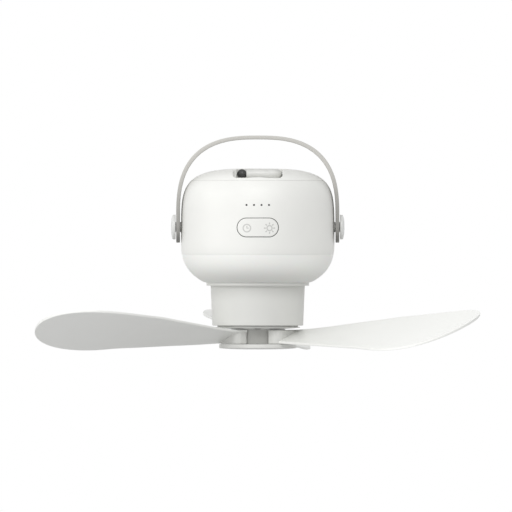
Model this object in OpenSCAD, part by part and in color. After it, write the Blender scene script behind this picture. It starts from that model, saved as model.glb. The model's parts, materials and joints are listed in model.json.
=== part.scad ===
// Portable hanging fan and lamp: a round battery body with an opal lamp bowl, a bucket-type
// carrying handle, a fold-flat hook in the top, and a three-blade rotor on a direct-drive
// outer-rotor motor underneath.
// Millimetres, +Z up. The origin is the hanging point: the middle of the handle's inner face.
// Inside the modules, heights are measured from the top of the motor housing; hang() moves
// them to the hanging point.

/* [Body] */
// Largest radius of the round body
body_r = 61.5; // [58:0.1:62]
// Height of the widest line above the motor housing
widest_z = 34; // [33:0.1:35]
// Height of the dome above the widest line
dome_h = 60; // [59:0.1:60]
// Depth that the lamp bowl's curve would reach below the widest line
bowl_h = 38.5; // [38:0.1:39]
// Wall thickness of the moulded shells
wall = 2.2; // [1.8:0.1:2.4]
// Height of the seam under the top cover
cover_seam_z = 84.2; // [83.9:0.1:84.2]
// Height of the seam between the body shell and the lamp bowl
lamp_seam_z = 24.8; // [24.5:0.1:25]
// Width of the shadow gap at each seam
seam_gap = 0.1; // [0.1:0.1:0.5]

/* [Motor housing] */
// Radius of the motor housing at its top
housing_top_r = 37.8; // [37.3:0.1:38]
// Radius of the motor housing at its bottom edge
housing_bottom_r = 36.5; // [36:0.1:36.8]
// Length of the motor housing below the flange
housing_h = 32; // [32:0.1:32.4]
// Radius of the flange that carries the lamp bowl
flange_r = 41.2; // [40.6:0.1:42]

/* [Rotor] */
// Radius that the blade tips sweep
sweep_r = 198.9; // [170:0.1:220]
// Thickness of a blade over most of its length
blade_t = 2.2; // [1.8:0.1:2.4]
// Rise of the blade's tip
tip_rise = 10.5; // [0:0.1:12]
// Radius of the hub's corners, between the flats that the blades plug into
hub_r = 22; // [21:0.5:22]
// Radius of the disc under the hub
cap_r = 31; // [28:0.5:34]

/* [Handle] */
// Distance from the body's axis to the inner face of each strap leg
strap_inner = 62.4; // [62.4:0.1:63]
// Thickness of the strap
strap_t = 3; // [2.4:0.1:3]
// Width of the strap
strap_w = 25; // [20:1:26]
// Height of the strap's inner face above the motor housing
hang_drop = 117.4; // [116.5:0.1:122]
// Height of the handle's pivots
pivot_z = 47; // [46:0.5:48]

/* [Key and lights] */
// Width of the capsule-shaped rocker key
key_w = 32.7; // [30:0.1:33]
// Height of the rocker key
key_h = 14.7; // [13:0.1:15]
// Gap around the rocker key
key_gap = 0.5; // [0.4:0.1:0.8]
// Height of the key's centre
key_z = 46.6; // [46:0.1:48]
// Height of the row of charge lights
lights_z = 64.6; // [62:0.1:66]
// Spacing of the charge lights
lights_pitch = 6; // [5:0.1:6.5]

/* [Hook] */
// Radius of the hook's rod
rod_r = 3.9; // [3.6:0.1:4]
// Distance from the hook's hinge to its crossbar
hook_reach = 20; // [18:0.5:20]
// Height of the hook's hinge and rod when folded
hook_z = 89.5; // [89.4:0.1:90]

/* [Hidden] */
$fn = 96;
slack = 0.05;            // radial clearance of pins and bores that run in each other
cut = 0.01;              // overlap that keeps cutting faces off the faces they cut
far = 80;                // half size of the slabs that split the body

// Body profile: exponents of the dome's and the bowl's curves, and the bowl's foot
dome_side_n = 3.4;
dome_top_n = 5.4;
bowl_n = 2.5;
bowl_foot_z = 3.3;
flange_h = 1.95;
foot_r = flange_r + 0.3;
spigot_r = 37.6;         // the housing's upper part, inside the lamp bowl

// Parts that several modules share
frame_z = 25.5;          // underside of the frame that carries everything inside
frame_t = 2.5;
frame_r = 56.6;
plate_z = -2;            // underside of the partition that carries the motor
plate_t = 3;
mount_top_z = plate_z - slack;
driver_z = 9;            // underside of the driver board
base_inner_z = -31.9;    // inner face of the base plate
base_rim_z = -33.1;      // top of its rim, under the shadow gap
base_hub_z = -34.6;      // underside of the base plate at its middle
hub_top_z = -35.5;
hub_bottom_z = -46.7;
cap_top_z = -46.95;
cap_bottom_z = -51.1;
shaft_r = 2.5;
bearing_r = 5.5;
bearing_w = 4;
m3_r = 1.45;             // shank of an M3 screw
m3_hole_r = 1.6;
stator_r = 20;
stator_h = 10;
stator_z = -21;
pin_r = 1.5;
pocket_half_w = 19.8;
pocket_front_y = -49.5;
pocket_back_y = 5.6;
pocket_floor_z = 85.2;
pocket_corner = 8;
pocket_step_y = -22;     // where the recess steps in beside the hook's tip
pocket_left_x = -17;
stem_x = 15.6;
bend_r = 4.6;            // radius of the hook's two bends, on the middle of its rod
tip_x = -12.6;
barrel_end_x = -16.6;
board_y = -50.4;         // front face of the main board
board_t = 1.6;
key_axis_y = -57.2;
key_wall = 2.4;
switch_x = 9.1;
socket_z = 40;
cell_r = 9.2;
cell_len = 65.2;
cell_pitch = 18.9;
cell_low_z = 41;
cell_mid_y = 4;
boss_x = 61.65;          // outer face of the pivot boss
washer_x = 61.7;
strap_outer = strap_inner + strap_t;
cap_x = strap_outer + 0.6; // inner face of the pivot caps
shoulder_r = 3;
blade_slope = 0.33;     // rise of the blade per millimetre along its chord
blade_angles = [90, 210, 330];
root_s = 18.3;
root_end_s = 28.5;
root_low_u = -15.4;
root_high_u = 14.6;
root_r = 6;
root_h = hub_top_z - hub_bottom_z;

// ---------------------------------------------------------------- helpers

module hang() translate([0, 0, -hang_drop]) children();

// a slab between two heights, wide enough to hold the body
module slab(z0, z1) translate([-far, -far, z0]) cube([2 * far, 2 * far, z1 - z0]);

module tube(r_out, r_in, h) difference() {
    cylinder(r = r_out, h = h);
    translate([0, 0, -cut]) cylinder(r = r_in, h = h + 2 * cut);
}

module ring_of(n, r, start = 0) for (i = [0:n - 1]) rotate([0, 0, start + i * 360 / n])
    translate([r, 0, 0]) children();

module both_sides() {
    children();
    mirror([1, 0, 0]) children();
}

// where the screws stand: frame to shell, frame to motor housing, and shell to top cover
module at_shell_screws() ring_of(4, 52.5, 45) children();
module at_housing_screws() for (a = [60, 120, 240, 300]) rotate([0, 0, a])
    translate([32.6, 0, 0]) children();
module at_cover_screws() ring_of(4, 46, 45) children();

// a cylinder along +X from x0 to x1
module rod_x(x0, x1, r) translate([x0, 0, 0]) rotate([0, 90, 0]) cylinder(r = r, h = x1 - x0);

// a cylinder along +Y from y0 to y1
module rod_y(y0, y1, r) translate([0, y0, 0]) rotate([-90, 0, 0]) cylinder(r = r, h = y1 - y0);

// a capsule lying along X, extruded along +Y from y0 to y1
module capsule_y(w, h, y0, y1) {
    translate([-(w - h) / 2, y0, -h / 2]) cube([w - h, y1 - y0, h]);
    for (s = [-1, 1]) translate([s * (w - h) / 2, 0, 0]) rod_y(y0, y1, h / 2);
}

// a box with upright round corners, from [x0, y0] to [x1, y1]
module round_box(x0, x1, y0, y1, z0, z1, r) {
    translate([x0 + r, y0, z0]) cube([x1 - x0 - 2 * r, y1 - y0, z1 - z0]);
    translate([x0, y0 + r, z0]) cube([x1 - x0, y1 - y0 - 2 * r, z1 - z0]);
    for (x = [x0 + r, x1 - r], y = [y0 + r, y1 - r]) translate([x, y, z0])
        cylinder(r = r, h = z1 - z0, $fn = 48);
}

// head and shank of a screw that points up, its head's underside at z = 0
module screw_up(head_r, head_h, shank_r, shank_h) {
    translate([0, 0, -head_h]) difference() {
        cylinder(r = head_r, h = head_h, $fn = 32);
        translate([0, 0, -cut]) cylinder(r = head_r * 0.45, h = head_h * 0.5, $fn = 6);
    }
    translate([0, 0, -cut]) cylinder(r = shank_r, h = shank_h + cut, $fn = 32);
}

// outline of the body from the top of the axis down to the lamp bowl's foot, drawn in by inset
dome_steps = 18;
bowl_steps = 10;
function dome_point(a, inset) = [
    (body_r - inset) * pow(max(cos(a), 0), 2 / dome_side_n),
    widest_z + (dome_h - inset) * pow(sin(a), 2 / dome_top_n)];
function bowl_radius(z, inset) =
    (body_r - inset) * pow(1 - pow((widest_z - z) / (bowl_h - inset), bowl_n), 1 / bowl_n);
function dome_outline(inset) = [for (i = [0:dome_steps]) dome_point(90 * (1 - i / dome_steps), inset)];
function bowl_outline(inset, z_end) = [for (i = [1:bowl_steps])
    let (z = widest_z - (widest_z - z_end) * sin(90 * i / bowl_steps)) [bowl_radius(z, inset), z]];

module body_solid(inset, z_end) rotate_extrude() polygon(concat(
    dome_outline(inset), bowl_outline(inset, z_end),
    inset > 0 ? [[0, z_end]] : [[foot_r + 1.3, 2.8], [foot_r + 0.5, 2.45], [foot_r, 2.25],
        [foot_r, flange_h + 0.15], [0, flange_h + 0.15]]));

module body_wall(inset = wall) difference() {
    body_solid(0, bowl_foot_z);
    body_solid(inset, bowl_foot_z + 1.2);
}

// ---------------------------------------------------------------- shells

module body_shell() color("whitesmoke") hang() difference() {
    union() {
        intersection() {
            body_wall();
            slab(lamp_seam_z + seam_gap / 2, cover_seam_z - seam_gap / 2);
        }
        // pivot bosses, inside and out
        translate([0, 0, pivot_z]) both_sides() {
            rod_x(50, body_r - 1, 6);
            rod_x(body_r - 1.5, boss_x, 4.2);
        }
        // bosses for the casing screws, tied to the wall
        at_shell_screws() translate([0, 0, frame_z + frame_t + slack]) {
            cylinder(r = 3.2, h = 22, $fn = 32);
            translate([0, -1, 0]) cube([7.6, 2, 22]);
        }
        // ledges for the cover screws
        at_cover_screws() translate([0, 0, 66]) {
            cylinder(r = 3, h = 12.5, $fn = 32);
            translate([0, -1, 0]) cube([11.5, 2, 10.5]);
        }
    }
    translate([0, 0, pivot_z]) both_sides() rod_x(49, far, 2 + slack);
    at_shell_screws() translate([0, 0, frame_z]) cylinder(r = 1.25, h = 16, $fn = 32);
    at_cover_screws() translate([0, 0, 65]) cylinder(r = m3_hole_r, h = 15, $fn = 32);
    translate([0, 0, key_z]) capsule_y(key_w + 2 * key_gap, key_h + 2 * key_gap, -70, -50);
    for (i = [-1.5:1.5]) translate([i * lights_pitch, 0, lights_z]) rod_y(-70, -50, 0.8);
    translate([0, 0, socket_z]) capsule_y(9.8, 4, 50, 70);
}

module top_cover() color("whitesmoke") hang() difference() {
    union() {
        intersection() {
            union() {
                body_wall();
                intersection() {
                    body_solid(0, bowl_foot_z);
                    round_box(-pocket_half_w - 1.8, pocket_half_w + 1.8, pocket_front_y - 6,
                        pocket_back_y + 1.8, cover_seam_z, far * 2, 5);
                }
            }
            slab(cover_seam_z + seam_gap / 2, 2 * far);
        }
        // locating skirt
        translate([0, 0, cover_seam_z - 2.5]) tube(49.2, 47.6, 3.6);
        // bosses for the cover screws
        intersection() {
            body_solid(wall / 2, bowl_foot_z);
            at_cover_screws() translate([0, 0, 78.6]) cylinder(r = 3, h = 14, $fn = 32);
        }
    }
    // room for a fingertip in front, and for the hook's stem and hinge behind it
    round_box(-pocket_half_w, pocket_half_w, pocket_front_y, pocket_step_y, pocket_floor_z, far * 2,
        pocket_corner);
    round_box(pocket_left_x, pocket_half_w, pocket_step_y - 12, pocket_back_y, pocket_floor_z, far * 2,
        1.5);
    translate([0, 0, hook_z]) rod_x(-23, 23, pin_r + slack);
    at_cover_screws() translate([0, 0, 78]) cylinder(r = 1.25, h = 8.5, $fn = 32);
}

module light_diffuser() color("white") hang() {
    intersection() {
        difference() {
            body_solid(0, bowl_foot_z);
            intersection() {
                body_solid(wall, bowl_foot_z + 1.2);
                slab(flange_h + 2.4, lamp_seam_z + 1);
            }
            cylinder(r = spigot_r + 0.3, h = 30);
        }
        slab(flange_h + 0.1, lamp_seam_z - seam_gap / 2);
    }
    translate([0, 0, lamp_seam_z - 1.4]) tube(58.4, frame_r + 0.2, 4.2);
}

module motor_housing() color("whitesmoke") hang() difference() {
    union() {
        rotate_extrude() polygon([
            [0, frame_z - slack], [spigot_r, frame_z - slack],
            [spigot_r, flange_h], [flange_r - 0.4, flange_h], [flange_r, flange_h - 0.4],
            [flange_r, 0.3], [flange_r - 0.3, 0], [housing_top_r, 0],
            [housing_bottom_r + 0.02, -housing_h + 0.9], [housing_bottom_r - 0.25, -housing_h + 0.25],
            [housing_bottom_r - 0.9, -housing_h], [0, -housing_h]]);
    }
    // the cavity above the partition, with posts for the driver board and an inner rim for screws
    difference() {
        translate([0, 0, plate_z + plate_t]) cylinder(r = spigot_r - 2.3, h = 21.4);
        ring_of(3, 24, 30) cylinder(r = 2.5, h = driver_z - slack, $fn = 32);
    }
    translate([0, 0, 20]) cylinder(r = 29.5, h = 20);
    // the cavity below the partition
    difference() {
        translate([0, 0, -housing_h - cut])
            cylinder(r1 = housing_bottom_r - 2.1, r2 = housing_top_r - 2, h = housing_h + plate_z + cut);
        ring_of(3, 29, 30) translate([0, 0, base_inner_z + slack]) cylinder(r = 2.8, h = 30, $fn = 32);
    }
    ring_of(3, 29, 30) translate([0, 0, -housing_h]) cylinder(r = 1.25, h = 20, $fn = 32);
    translate([0, 0, plate_z - 1]) cylinder(r = 7, h = 5);
    ring_of(3, 12, 90) translate([0, 0, plate_z - 1]) cylinder(r = m3_hole_r, h = 5, $fn = 32);
    at_housing_screws() translate([0, 0, 15]) cylinder(r = 1.25, h = 12, $fn = 32);
    // wire hole beside the motor mount
    translate([19.5, 0, plate_z - 1]) cylinder(r = 3, h = 5, $fn = 32);
}

module base_plate() color("gainsboro") hang() difference() {
    rotate_extrude() polygon([
        [7, base_inner_z], [31.7, base_inner_z], [31.7, -29.9], [33.8, -29.9], [33.8, -31.8],
        [32.3, -32], [32.3, base_rim_z], [33.7, base_rim_z], [34, base_rim_z - 0.3],
        [33.7, base_rim_z - 0.6], [30, -34.05], [24, -34.4], [18, base_hub_z], [7, base_hub_z]]);
    ring_of(3, 29, 30) translate([0, 0, -40]) cylinder(r = m3_hole_r, h = 12, $fn = 32);
    ring_of(3, 29, 30) translate([0, 0, -40]) cylinder(r = 2.9, h = 7.4, $fn = 32);
}

module base_screws() color("silver") hang()
    ring_of(3, 29, 30) translate([0, 0, -32.65]) screw_up(2.7, 1.3, 1.2, 12);

module mid_frame() color("lightgray") hang() difference() {
    union() {
        translate([0, 0, frame_z]) cylinder(r = frame_r, h = frame_t);
        // posts behind the main board
        for (x = [-19, 19]) translate([x - 2.5, board_y + board_t + slack, frame_z])
            cube([5, 4, 34]);
        // posts under the charging board
        for (x = [-6.5, 6.5]) translate([x - 1.5, 46, frame_z]) cube([3, 8, 11.4]);
    }
    translate([lead_x, lead_y, frame_z - 1]) cylinder(r = 3.4, h = 6, $fn = 48);
    at_shell_screws() translate([0, 0, frame_z - 1]) cylinder(r = m3_hole_r, h = 6, $fn = 32);
    at_housing_screws() translate([0, 0, frame_z - 1]) cylinder(r = m3_hole_r, h = 6, $fn = 32);
}

// long ones hold the frame in the body shell, short ones hold the motor housing to the frame
module casing_screws() color("silver") hang() {
    at_shell_screws() translate([0, 0, frame_z - slack]) screw_up(2.6, 1.5, 1.2, 14);
    at_housing_screws() translate([0, 0, frame_z + frame_t + slack]) mirror([0, 0, 1])
        screw_up(2.6, 1.5, 1.2, 11);
}

module cover_screws() color("silver") hang()
    at_cover_screws() translate([0, 0, 65.9]) screw_up(2.6, 1.5, 1.2, 19);

// ---------------------------------------------------------------- battery and boards

module cell_places() for (y = [-0.5, 0.5], z = [0, 1])
    translate([0, cell_mid_y + y * cell_pitch, cell_low_z + z * cell_pitch]) children();

module battery_cells() color("mediumseagreen") hang() cell_places() {
    rod_x(-cell_len / 2, cell_len / 2 - 1.6, cell_r);
    rod_x(cell_len / 2 - 1.7, cell_len / 2, 3);
}

module battery_tabs() color("silver") hang() for (side = [-1, 1], y = [-0.5, 0.5])
    translate([side * (cell_len / 2 + 0.12) - (side < 0 ? 0.2 : 0),
        cell_mid_y + y * cell_pitch - 4, cell_low_z - 4]) cube([0.2, 8, cell_pitch + 8]);

module battery_holder() color("dimgray") hang() difference() {
    translate([-37.5, cell_mid_y - 20.5, frame_z + frame_t + slack]) cube([75, 41, 22]);
    cell_places() rod_x(-cell_len / 2 - 0.6, cell_len / 2 + 0.6, cell_r + 0.15);
    translate([-cell_len / 2 - 0.6, cell_mid_y - 18.5, cell_low_z]) cube([cell_len + 1.2, 37, 20]);
    translate([-20, cell_mid_y - 25, frame_z + 9]) cube([40, 50, 20]);
}

module main_board() color("darkgreen") hang() {
    translate([-23, board_y, 33]) cube([46, board_t, 38]);
    translate([-16, board_y + board_t, 52]) cube([8, 1.2, 9]);
    translate([6, board_y + board_t, 54]) cube([6, 1, 6]);
    translate([-3, board_y + board_t, 36]) cube([8, 3.2, 8]);
}

module tact_switches() color("dimgray") hang() both_sides() translate([switch_x, 0, key_z]) {
    translate([-3, board_y - 3.4, -3]) cube([6, 3.4 - slack, 6]);
    rod_y(-54.5, board_y - 3.3, 1.6);
}

module status_leds() color("ivory") hang() for (i = [-1.5:1.5])
    translate([i * lights_pitch, 0, lights_z]) {
        translate([-1, board_y - 0.8, -0.65]) cube([2, 0.8 - slack, 1.3]);
        rod_y(board_y - 1.4, board_y - 0.7, 0.6);
    }

module light_pipes() color("dimgray") hang() {
    intersection() {
        body_solid(0.15, bowl_foot_z);
        for (i = [-1.5:1.5]) translate([i * lights_pitch, 0, lights_z]) rod_y(-64, -52.4, 0.75);
    }
    translate([-11, -57, lights_z - 2]) cube([22, 1.4, 4]);
}

// the bracket that the rocker key turns in
module key_frame() color("gray") hang() difference() {
    union() {
        translate([-4, -55.6, 34.4]) cube([8, board_y + 55.6 - slack, 24.4]);
        for (z = [34.4, 56.8]) translate([-3, -59, z]) cube([6, 5, 2]);
    }
    translate([0, key_axis_y, 30]) cylinder(r = 1 + slack, h = 34, $fn = 48);
}

module charging_board() color("darkgreen") hang()
    translate([-10, 43, frame_z + 11.45]) cube([20, 15, 1.2]);

module charging_socket() color("silver") hang() translate([0, 0, socket_z]) {
    difference() {
        capsule_y(9, 3.3, 53, 60.6);
        capsule_y(8.4, 2.7, 53.6, 61);
    }
    translate([-3.35, 53.4, -0.35]) cube([6.7, 6.2, 0.7]);
}

module led_board() color("ivory") hang() difference() {
    translate([0, 0, 23.7]) tube(55.5, 38.6, 1.6);
    at_shell_screws() translate([0, 0, 20]) cylinder(r = 3.1, h = 8, $fn = 32);
}

module lamp_leds() color("khaki") hang() ring_of(24, 46) translate([-1.4, -1.4, 22.85])
    cube([2.8, 2.8, 0.8]);

module driver_board() color("darkgreen") hang() difference() {
    translate([0, 0, driver_z]) union() {
        cylinder(r = 28, h = 1.6);
        for (i = [0:5]) rotate([0, 0, 60 * i + 10]) translate([14, -2.5, 1.5]) cube([5, 5, 1.2]);
        translate([-21, 0, 1.5]) cylinder(r = 4, h = 8, $fn = 32);
    }
    translate([0, 0, 8]) cylinder(r = 5, h = 12);
    translate([19.5, 0, 8]) cylinder(r = 2.6, h = 12, $fn = 32);
}

// ---------------------------------------------------------------- motor, standing part

module motor_mount() color("silver") hang() difference() {
    union() {
        translate([0, 0, mount_top_z - 3]) cylinder(r = 16, h = 3);
        translate([0, 0, -24.6]) cylinder(r = 7, h = 20);
    }
    translate([0, 0, -30]) cylinder(r = 4.2, h = 40);
    translate([0, 0, mount_top_z - bearing_w - 0.05]) cylinder(r = bearing_r + 0.02, h = 10);
    translate([0, 0, -30]) cylinder(r = bearing_r + 0.02, h = 30 - 24.6 + bearing_w + 0.1);
    ring_of(3, 12, 90) translate([0, 0, -8]) cylinder(r = 1.5, h = 10, $fn = 32);
}

module motor_screws() color("dimgray") hang() ring_of(3, 12, 90)
    translate([0, 0, plate_z + plate_t + slack]) mirror([0, 0, 1]) screw_up(2.7, 1.8, m3_r, 5.8);

module bearing() {
    tube(bearing_r, 4.6, bearing_w);
    tube(3.4, shaft_r + 0.03, bearing_w);
    ring_of(8, 4) translate([0, 0, bearing_w / 2]) sphere(r = 0.59, $fn = 24);
}

module upper_bearing() color("lightsteelblue") hang()
    translate([0, 0, mount_top_z - bearing_w]) bearing();

module lower_bearing() color("lightsteelblue") hang() translate([0, 0, -24.55]) bearing();

slots = 12;
module stator_core() color("slategray") hang() translate([0, 0, stator_z]) {
    tube(10.6, 7.03, stator_h);
    for (i = [0:slots - 1]) rotate([0, 0, i * 360 / slots]) {
        translate([10.3, -1.3, 0]) cube([8.2, 2.6, stator_h]);
        rotate([0, 0, -12]) rotate_extrude(angle = 24) translate([18.2, 0])
            square([stator_r - 18.2, stator_h]);
    }
}

module stator_windings() color("peru") hang() for (i = [0:slots - 1])
    rotate([0, 0, i * 360 / slots]) difference() {
        translate([11.2, -2.6, stator_z - 2]) cube([6.4, 5.2, stator_h + 4]);
        translate([10, -1.35, stator_z - slack]) cube([9, 2.7, stator_h + 2 * slack]);
    }

// ---------------------------------------------------------------- rotor

module shaft() color("silver") hang() difference() {
    translate([0, 0, -45]) cylinder(r = shaft_r, h = 44.5);
    translate([0, 0, -1.95]) tube(4, 2.05, 0.7);
    translate([0, 0, -46]) cylinder(r = m3_r + slack, h = 7.7, $fn = 48);
    translate([0, 0, -37]) rod_x(-5, 5, 1 + 0.02);
}

module circlip() color("dimgray") hang() translate([0, 0, -1.9]) difference() {
    tube(4.2, 2.1, 0.6);
    translate([0, -1.2, -1]) cube([6, 2.4, 3]);
}

module bell() color("darkgray") hang() difference() {
    union() {
        translate([0, 0, -27.6]) cylinder(r = 23, h = 18.6);
        translate([0, 0, -30.2]) cylinder(r = 5.5, h = 3);
    }
    translate([0, 0, -26]) cylinder(r = 21.6, h = 20);
    translate([0, 0, -32]) cylinder(r = shaft_r + 0.02, h = 10);
    ring_of(6, 13.5) translate([0, 0, -30]) cylinder(r = 3.4, h = 10, $fn = 32);
}

module magnets() color("gray") hang() for (i = [0:13]) rotate([0, 0, i * 360 / 14])
    translate([0, 0, stator_z - 1]) rotate_extrude(angle = 22) translate([20.35, 0])
        square([1.2, stator_h + 2]);

tenon_z = -43.4;
tenon_h = 5.4;
tenon_w = 15;
tenon_s = 9.5;

// one call per blade, turned so that the blade points along +X
module at_blade(i) rotate([0, 0, blade_angles[i]]) children();

// a round hub with a flat in front of each blade's root
hub_flat = 18.25;        // distance of the flats from the axis
module hub_body() translate([0, 0, hub_bottom_z]) intersection() {
    cylinder(r = hub_r, h = base_hub_z - 0.35 - hub_bottom_z);
    rotate([0, 0, 30]) linear_extrude(base_hub_z - 0.35 - hub_bottom_z) circle(r = 2 * hub_flat, $fn = 3);
}

module hub() color("gray") hang() difference() {
    hub_body();
    translate([0, 0, -50]) cylinder(r = shaft_r + 0.02, h = 20);
    translate([-7.2, -1.05, -38.1]) cube([14.4, 2.1, 5]);
    for (i = [0:2]) at_blade(i) {
        translate([tenon_s - 0.1, -tenon_w / 2 - 0.1, tenon_z - 0.1])
            cube([20, tenon_w + 0.2, tenon_h + 0.2]);
        for (u = [-4.5, 4.5]) translate([13.5, u, -50]) {
            cylinder(r = m3_hole_r, h = 8, $fn = 32);
            cylinder(r = 2.8, h = hub_bottom_z + 51.7, $fn = 32);
        }
    }
}

module drive_pin() color("silver") hang() translate([0, 0, -37]) rod_x(-7, 7, 1);

// A blade's stations: distance from the axis, its low edge and high edge across the blade,
// and the height of its middle line
stations = [
    [18.3, -13.5, 15, -41.1],
    [30, -13.6, 15.8, -41.2],
    [48, -17.1, 20.7, -41.1],
    [70, -22.4, 27.4, -40.3],
    [92, -28.1, 34, -39.5],
    [118, -35.6, 40.9, -38.4]];
end_rates = [0, -0.306, 0.198, 0]; // how fast each column runs on past the last station
last = len(stations) - 1;
end_s = stations[last][0];
tip_start = 125.5;       // where the blade starts to close towards its tip
tip_n = 1.97;            // how square the tip's ellipse is
rise_curve = 1.77;       // how late the blade starts to rise
edge_round = 1;          // width over which the blade's edges thin out
edge_t = 0.7;            // share of the thickness left at the very edge

// smooth curve through the stations: column c at distance s
function step_at(s, i = 0) = i >= last - 1 || s < stations[i + 1][0] ? i : step_at(s, i + 1);
function rate(i, c) = i == 0 ? 0 : i == last ? end_rates[c]
    : (stations[i + 1][c] - stations[i - 1][c]) / (stations[i + 1][0] - stations[i - 1][0]);
function station(s, c) = let (
        i = step_at(min(s, end_s)),
        d = stations[i + 1][0] - stations[i][0],
        t = (min(s, end_s) - stations[i][0]) / d)
    (2 * t * t * t - 3 * t * t + 1) * stations[i][c] + (t * t * t - 2 * t * t + t) * d * rate(i, c)
    + (3 * t * t - 2 * t * t * t) * stations[i + 1][c] + (t * t * t - t * t) * d * rate(i + 1, c)
    + max(s - end_s, 0) * end_rates[c];
// the tip closes along a superellipse
function tip_share(s) = s <= tip_start ? 1
    : pow(1 - pow((s - tip_start) / (sweep_r - tip_start), tip_n), 1 / tip_n);
function blade_edge(s, c) = station(s, c) * tip_share(s);
function blade_mid_z(s) = station(s, 3)
    + (s > end_s ? tip_rise * pow((s - end_s) / (sweep_r - end_s), rise_curve) : 0);
function blade_half_t(d) = let (x = max(0, min(d / edge_round, 1)))
    blade_t / 2 * (edge_t + (1 - edge_t) * sqrt(1 - (1 - x) * (1 - x)));

across = [0, 0.01, 0.08, 0.2, 0.35, 0.5, 0.65, 0.8, 0.92, 0.99, 1];
blade_rings = 30;
function ring_s(k) = let (
        straight = 16,
        t = k <= straight ? 0 : (k - straight) / (blade_rings - straight))
    k <= straight ? root_s + (tip_start - root_s) * k / straight
    : tip_start + (sweep_r - 0.15 - tip_start) * sin(90 * t);
function blade_point(s, w, side) = let (
        lo = blade_edge(s, 1),
        hi = blade_edge(s, 2),
        u = lo + (hi - lo) * w,
        d = min(u - lo, hi - u))
    [s, u, blade_mid_z(s) + blade_slope * u + side * blade_half_t(d)];
function blade_ring(s) = concat(
    [for (w = across) blade_point(s, w, 1)],
    [for (i = [len(across) - 1:-1:0]) blade_point(s, across[i], -1)]);
ring_n = 2 * len(across);
blade_points = [for (k = [0:blade_rings]) each blade_ring(ring_s(k))];
blade_faces = concat(
    [[for (i = [ring_n - 1:-1:0]) i]],
    [for (k = [0:blade_rings - 1], i = [0:ring_n - 1]) let (
            a = k * ring_n + i,
            b = k * ring_n + (i + 1) % ring_n)
        each [[a, b, a + ring_n], [b, b + ring_n, a + ring_n]]],
    [[for (i = [0:ring_n - 1]) blade_rings * ring_n + i]]);

// the block at the root, with two large rounded corners away from the hub
module blade_root() translate([0, 0, hub_bottom_z]) {
    translate([root_s, root_low_u, 0]) cube([root_end_s - root_r - root_s, root_high_u - root_low_u, root_h]);
    translate([root_s + 1, root_low_u + root_r, 0])
        cube([root_end_s - root_s - 1, root_high_u - root_low_u - 2 * root_r, root_h]);
    for (u = [root_low_u + root_r, root_high_u - root_r]) intersection() {
        translate([root_end_s - root_r, u, 0]) cylinder(r = root_r, h = root_h, $fn = 64);
        translate([root_s, u - root_r - 1, -1]) cube([root_end_s, 2 * root_r + 2, root_h + 2]);
    }
}

module blade() color("whitesmoke") hang() difference() {
    union() {
        polyhedron(points = blade_points, faces = blade_faces, convexity = 4);
        // the thick root that stands against the hub, and the tenon that plugs into it
        blade_root();
        translate([tenon_s, -tenon_w / 2, tenon_z]) cube([12, tenon_w, tenon_h]);
    }
    for (u = [-4.5, 4.5]) translate([13.5, u, -50]) cylinder(r = m3_r + 0.02, h = 11, $fn = 32);
}

module blade_1() at_blade(0) blade();
module blade_2() at_blade(1) blade();
module blade_3() at_blade(2) blade();

module blade_screws() color("silver") hang() for (i = [0:2], u = [-4.5, 4.5]) at_blade(i)
    translate([13.5, u, -45.05]) screw_up(2.6, 1.6, m3_r, 5.8);

module hub_cap() color("whitesmoke") hang() difference() {
    rotate_extrude() polygon([
        [0, cap_top_z], [cap_r - 0.4, cap_top_z], [cap_r, cap_top_z - 0.4], [cap_r, -49.7],
        [cap_r - 0.5, -50.15], [24, -50.7], [15, cap_bottom_z + 0.08], [0, cap_bottom_z]]);
    translate([0, 0, -55]) cylinder(r = m3_hole_r, h = 12, $fn = 48);
    translate([0, 0, -55]) cylinder(r = 3.6, h = 6, $fn = 48);
}

module cap_screw() color("silver") hang() translate([0, 0, -49.05])
    screw_up(3.2, 1.9, m3_r, 10.5);

// ---------------------------------------------------------------- handle, key and hook

arch_foot_z = 56;        // the strap runs straight up to here, then arches over
arch_n = 2.7;
arch_steps = 24;
function arch_outline(half, height) = [for (i = [0:2 * arch_steps]) let (a = 90 * i / arch_steps)
    [half * sign(cos(a)) * pow(abs(cos(a)), 2 / arch_n),
        arch_foot_z + height * pow(max(sin(a), 0), 2 / arch_n)]];

module handle_strap() color("darkgray") hang() difference() {
    union() {
        translate([0, strap_w / 2, 0]) rotate([90, 0, 0]) linear_extrude(height = strap_w) polygon(concat(
            arch_outline(strap_outer, hang_drop + strap_t - arch_foot_z),
            [for (i = [2 * arch_steps:-1:0]) arch_outline(strap_inner, hang_drop - arch_foot_z)[i]]));
        both_sides() {
            translate([strap_inner, -strap_w / 2, pivot_z])
                cube([strap_t, strap_w, arch_foot_z - pivot_z + cut]);
            translate([0, 0, pivot_z]) rod_x(strap_inner, strap_outer, strap_w / 2);
        }
    }
    translate([0, 0, pivot_z]) rod_x(-far, far, 3.95);
}

module strap_eyelets() color("silver") hang() translate([0, 0, pivot_z]) both_sides()
    translate([strap_inner + 0.05, 0, 0]) rotate([0, 90, 0])
        tube(3.9, shoulder_r + 0.06, strap_t - 0.1);

module washer_pair(x0, x1) translate([0, 0, pivot_z]) both_sides() translate([x0, 0, 0])
    rotate([0, 90, 0]) tube(4, shoulder_r + 0.06, x1 - x0);

module inner_washers() color("gray") hang() washer_pair(washer_x, strap_inner - 0.1);
module outer_washers() color("gray") hang() washer_pair(strap_outer + 0.1, cap_x - 0.05);

module pivot_screws() color("silver") hang() translate([0, 0, pivot_z]) both_sides() {
    rod_x(52, washer_x + 1, 2);
    rod_x(washer_x, cap_x, shoulder_r);
    rod_x(cap_x - slack, cap_x + 1.5, 4.5);
}

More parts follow.
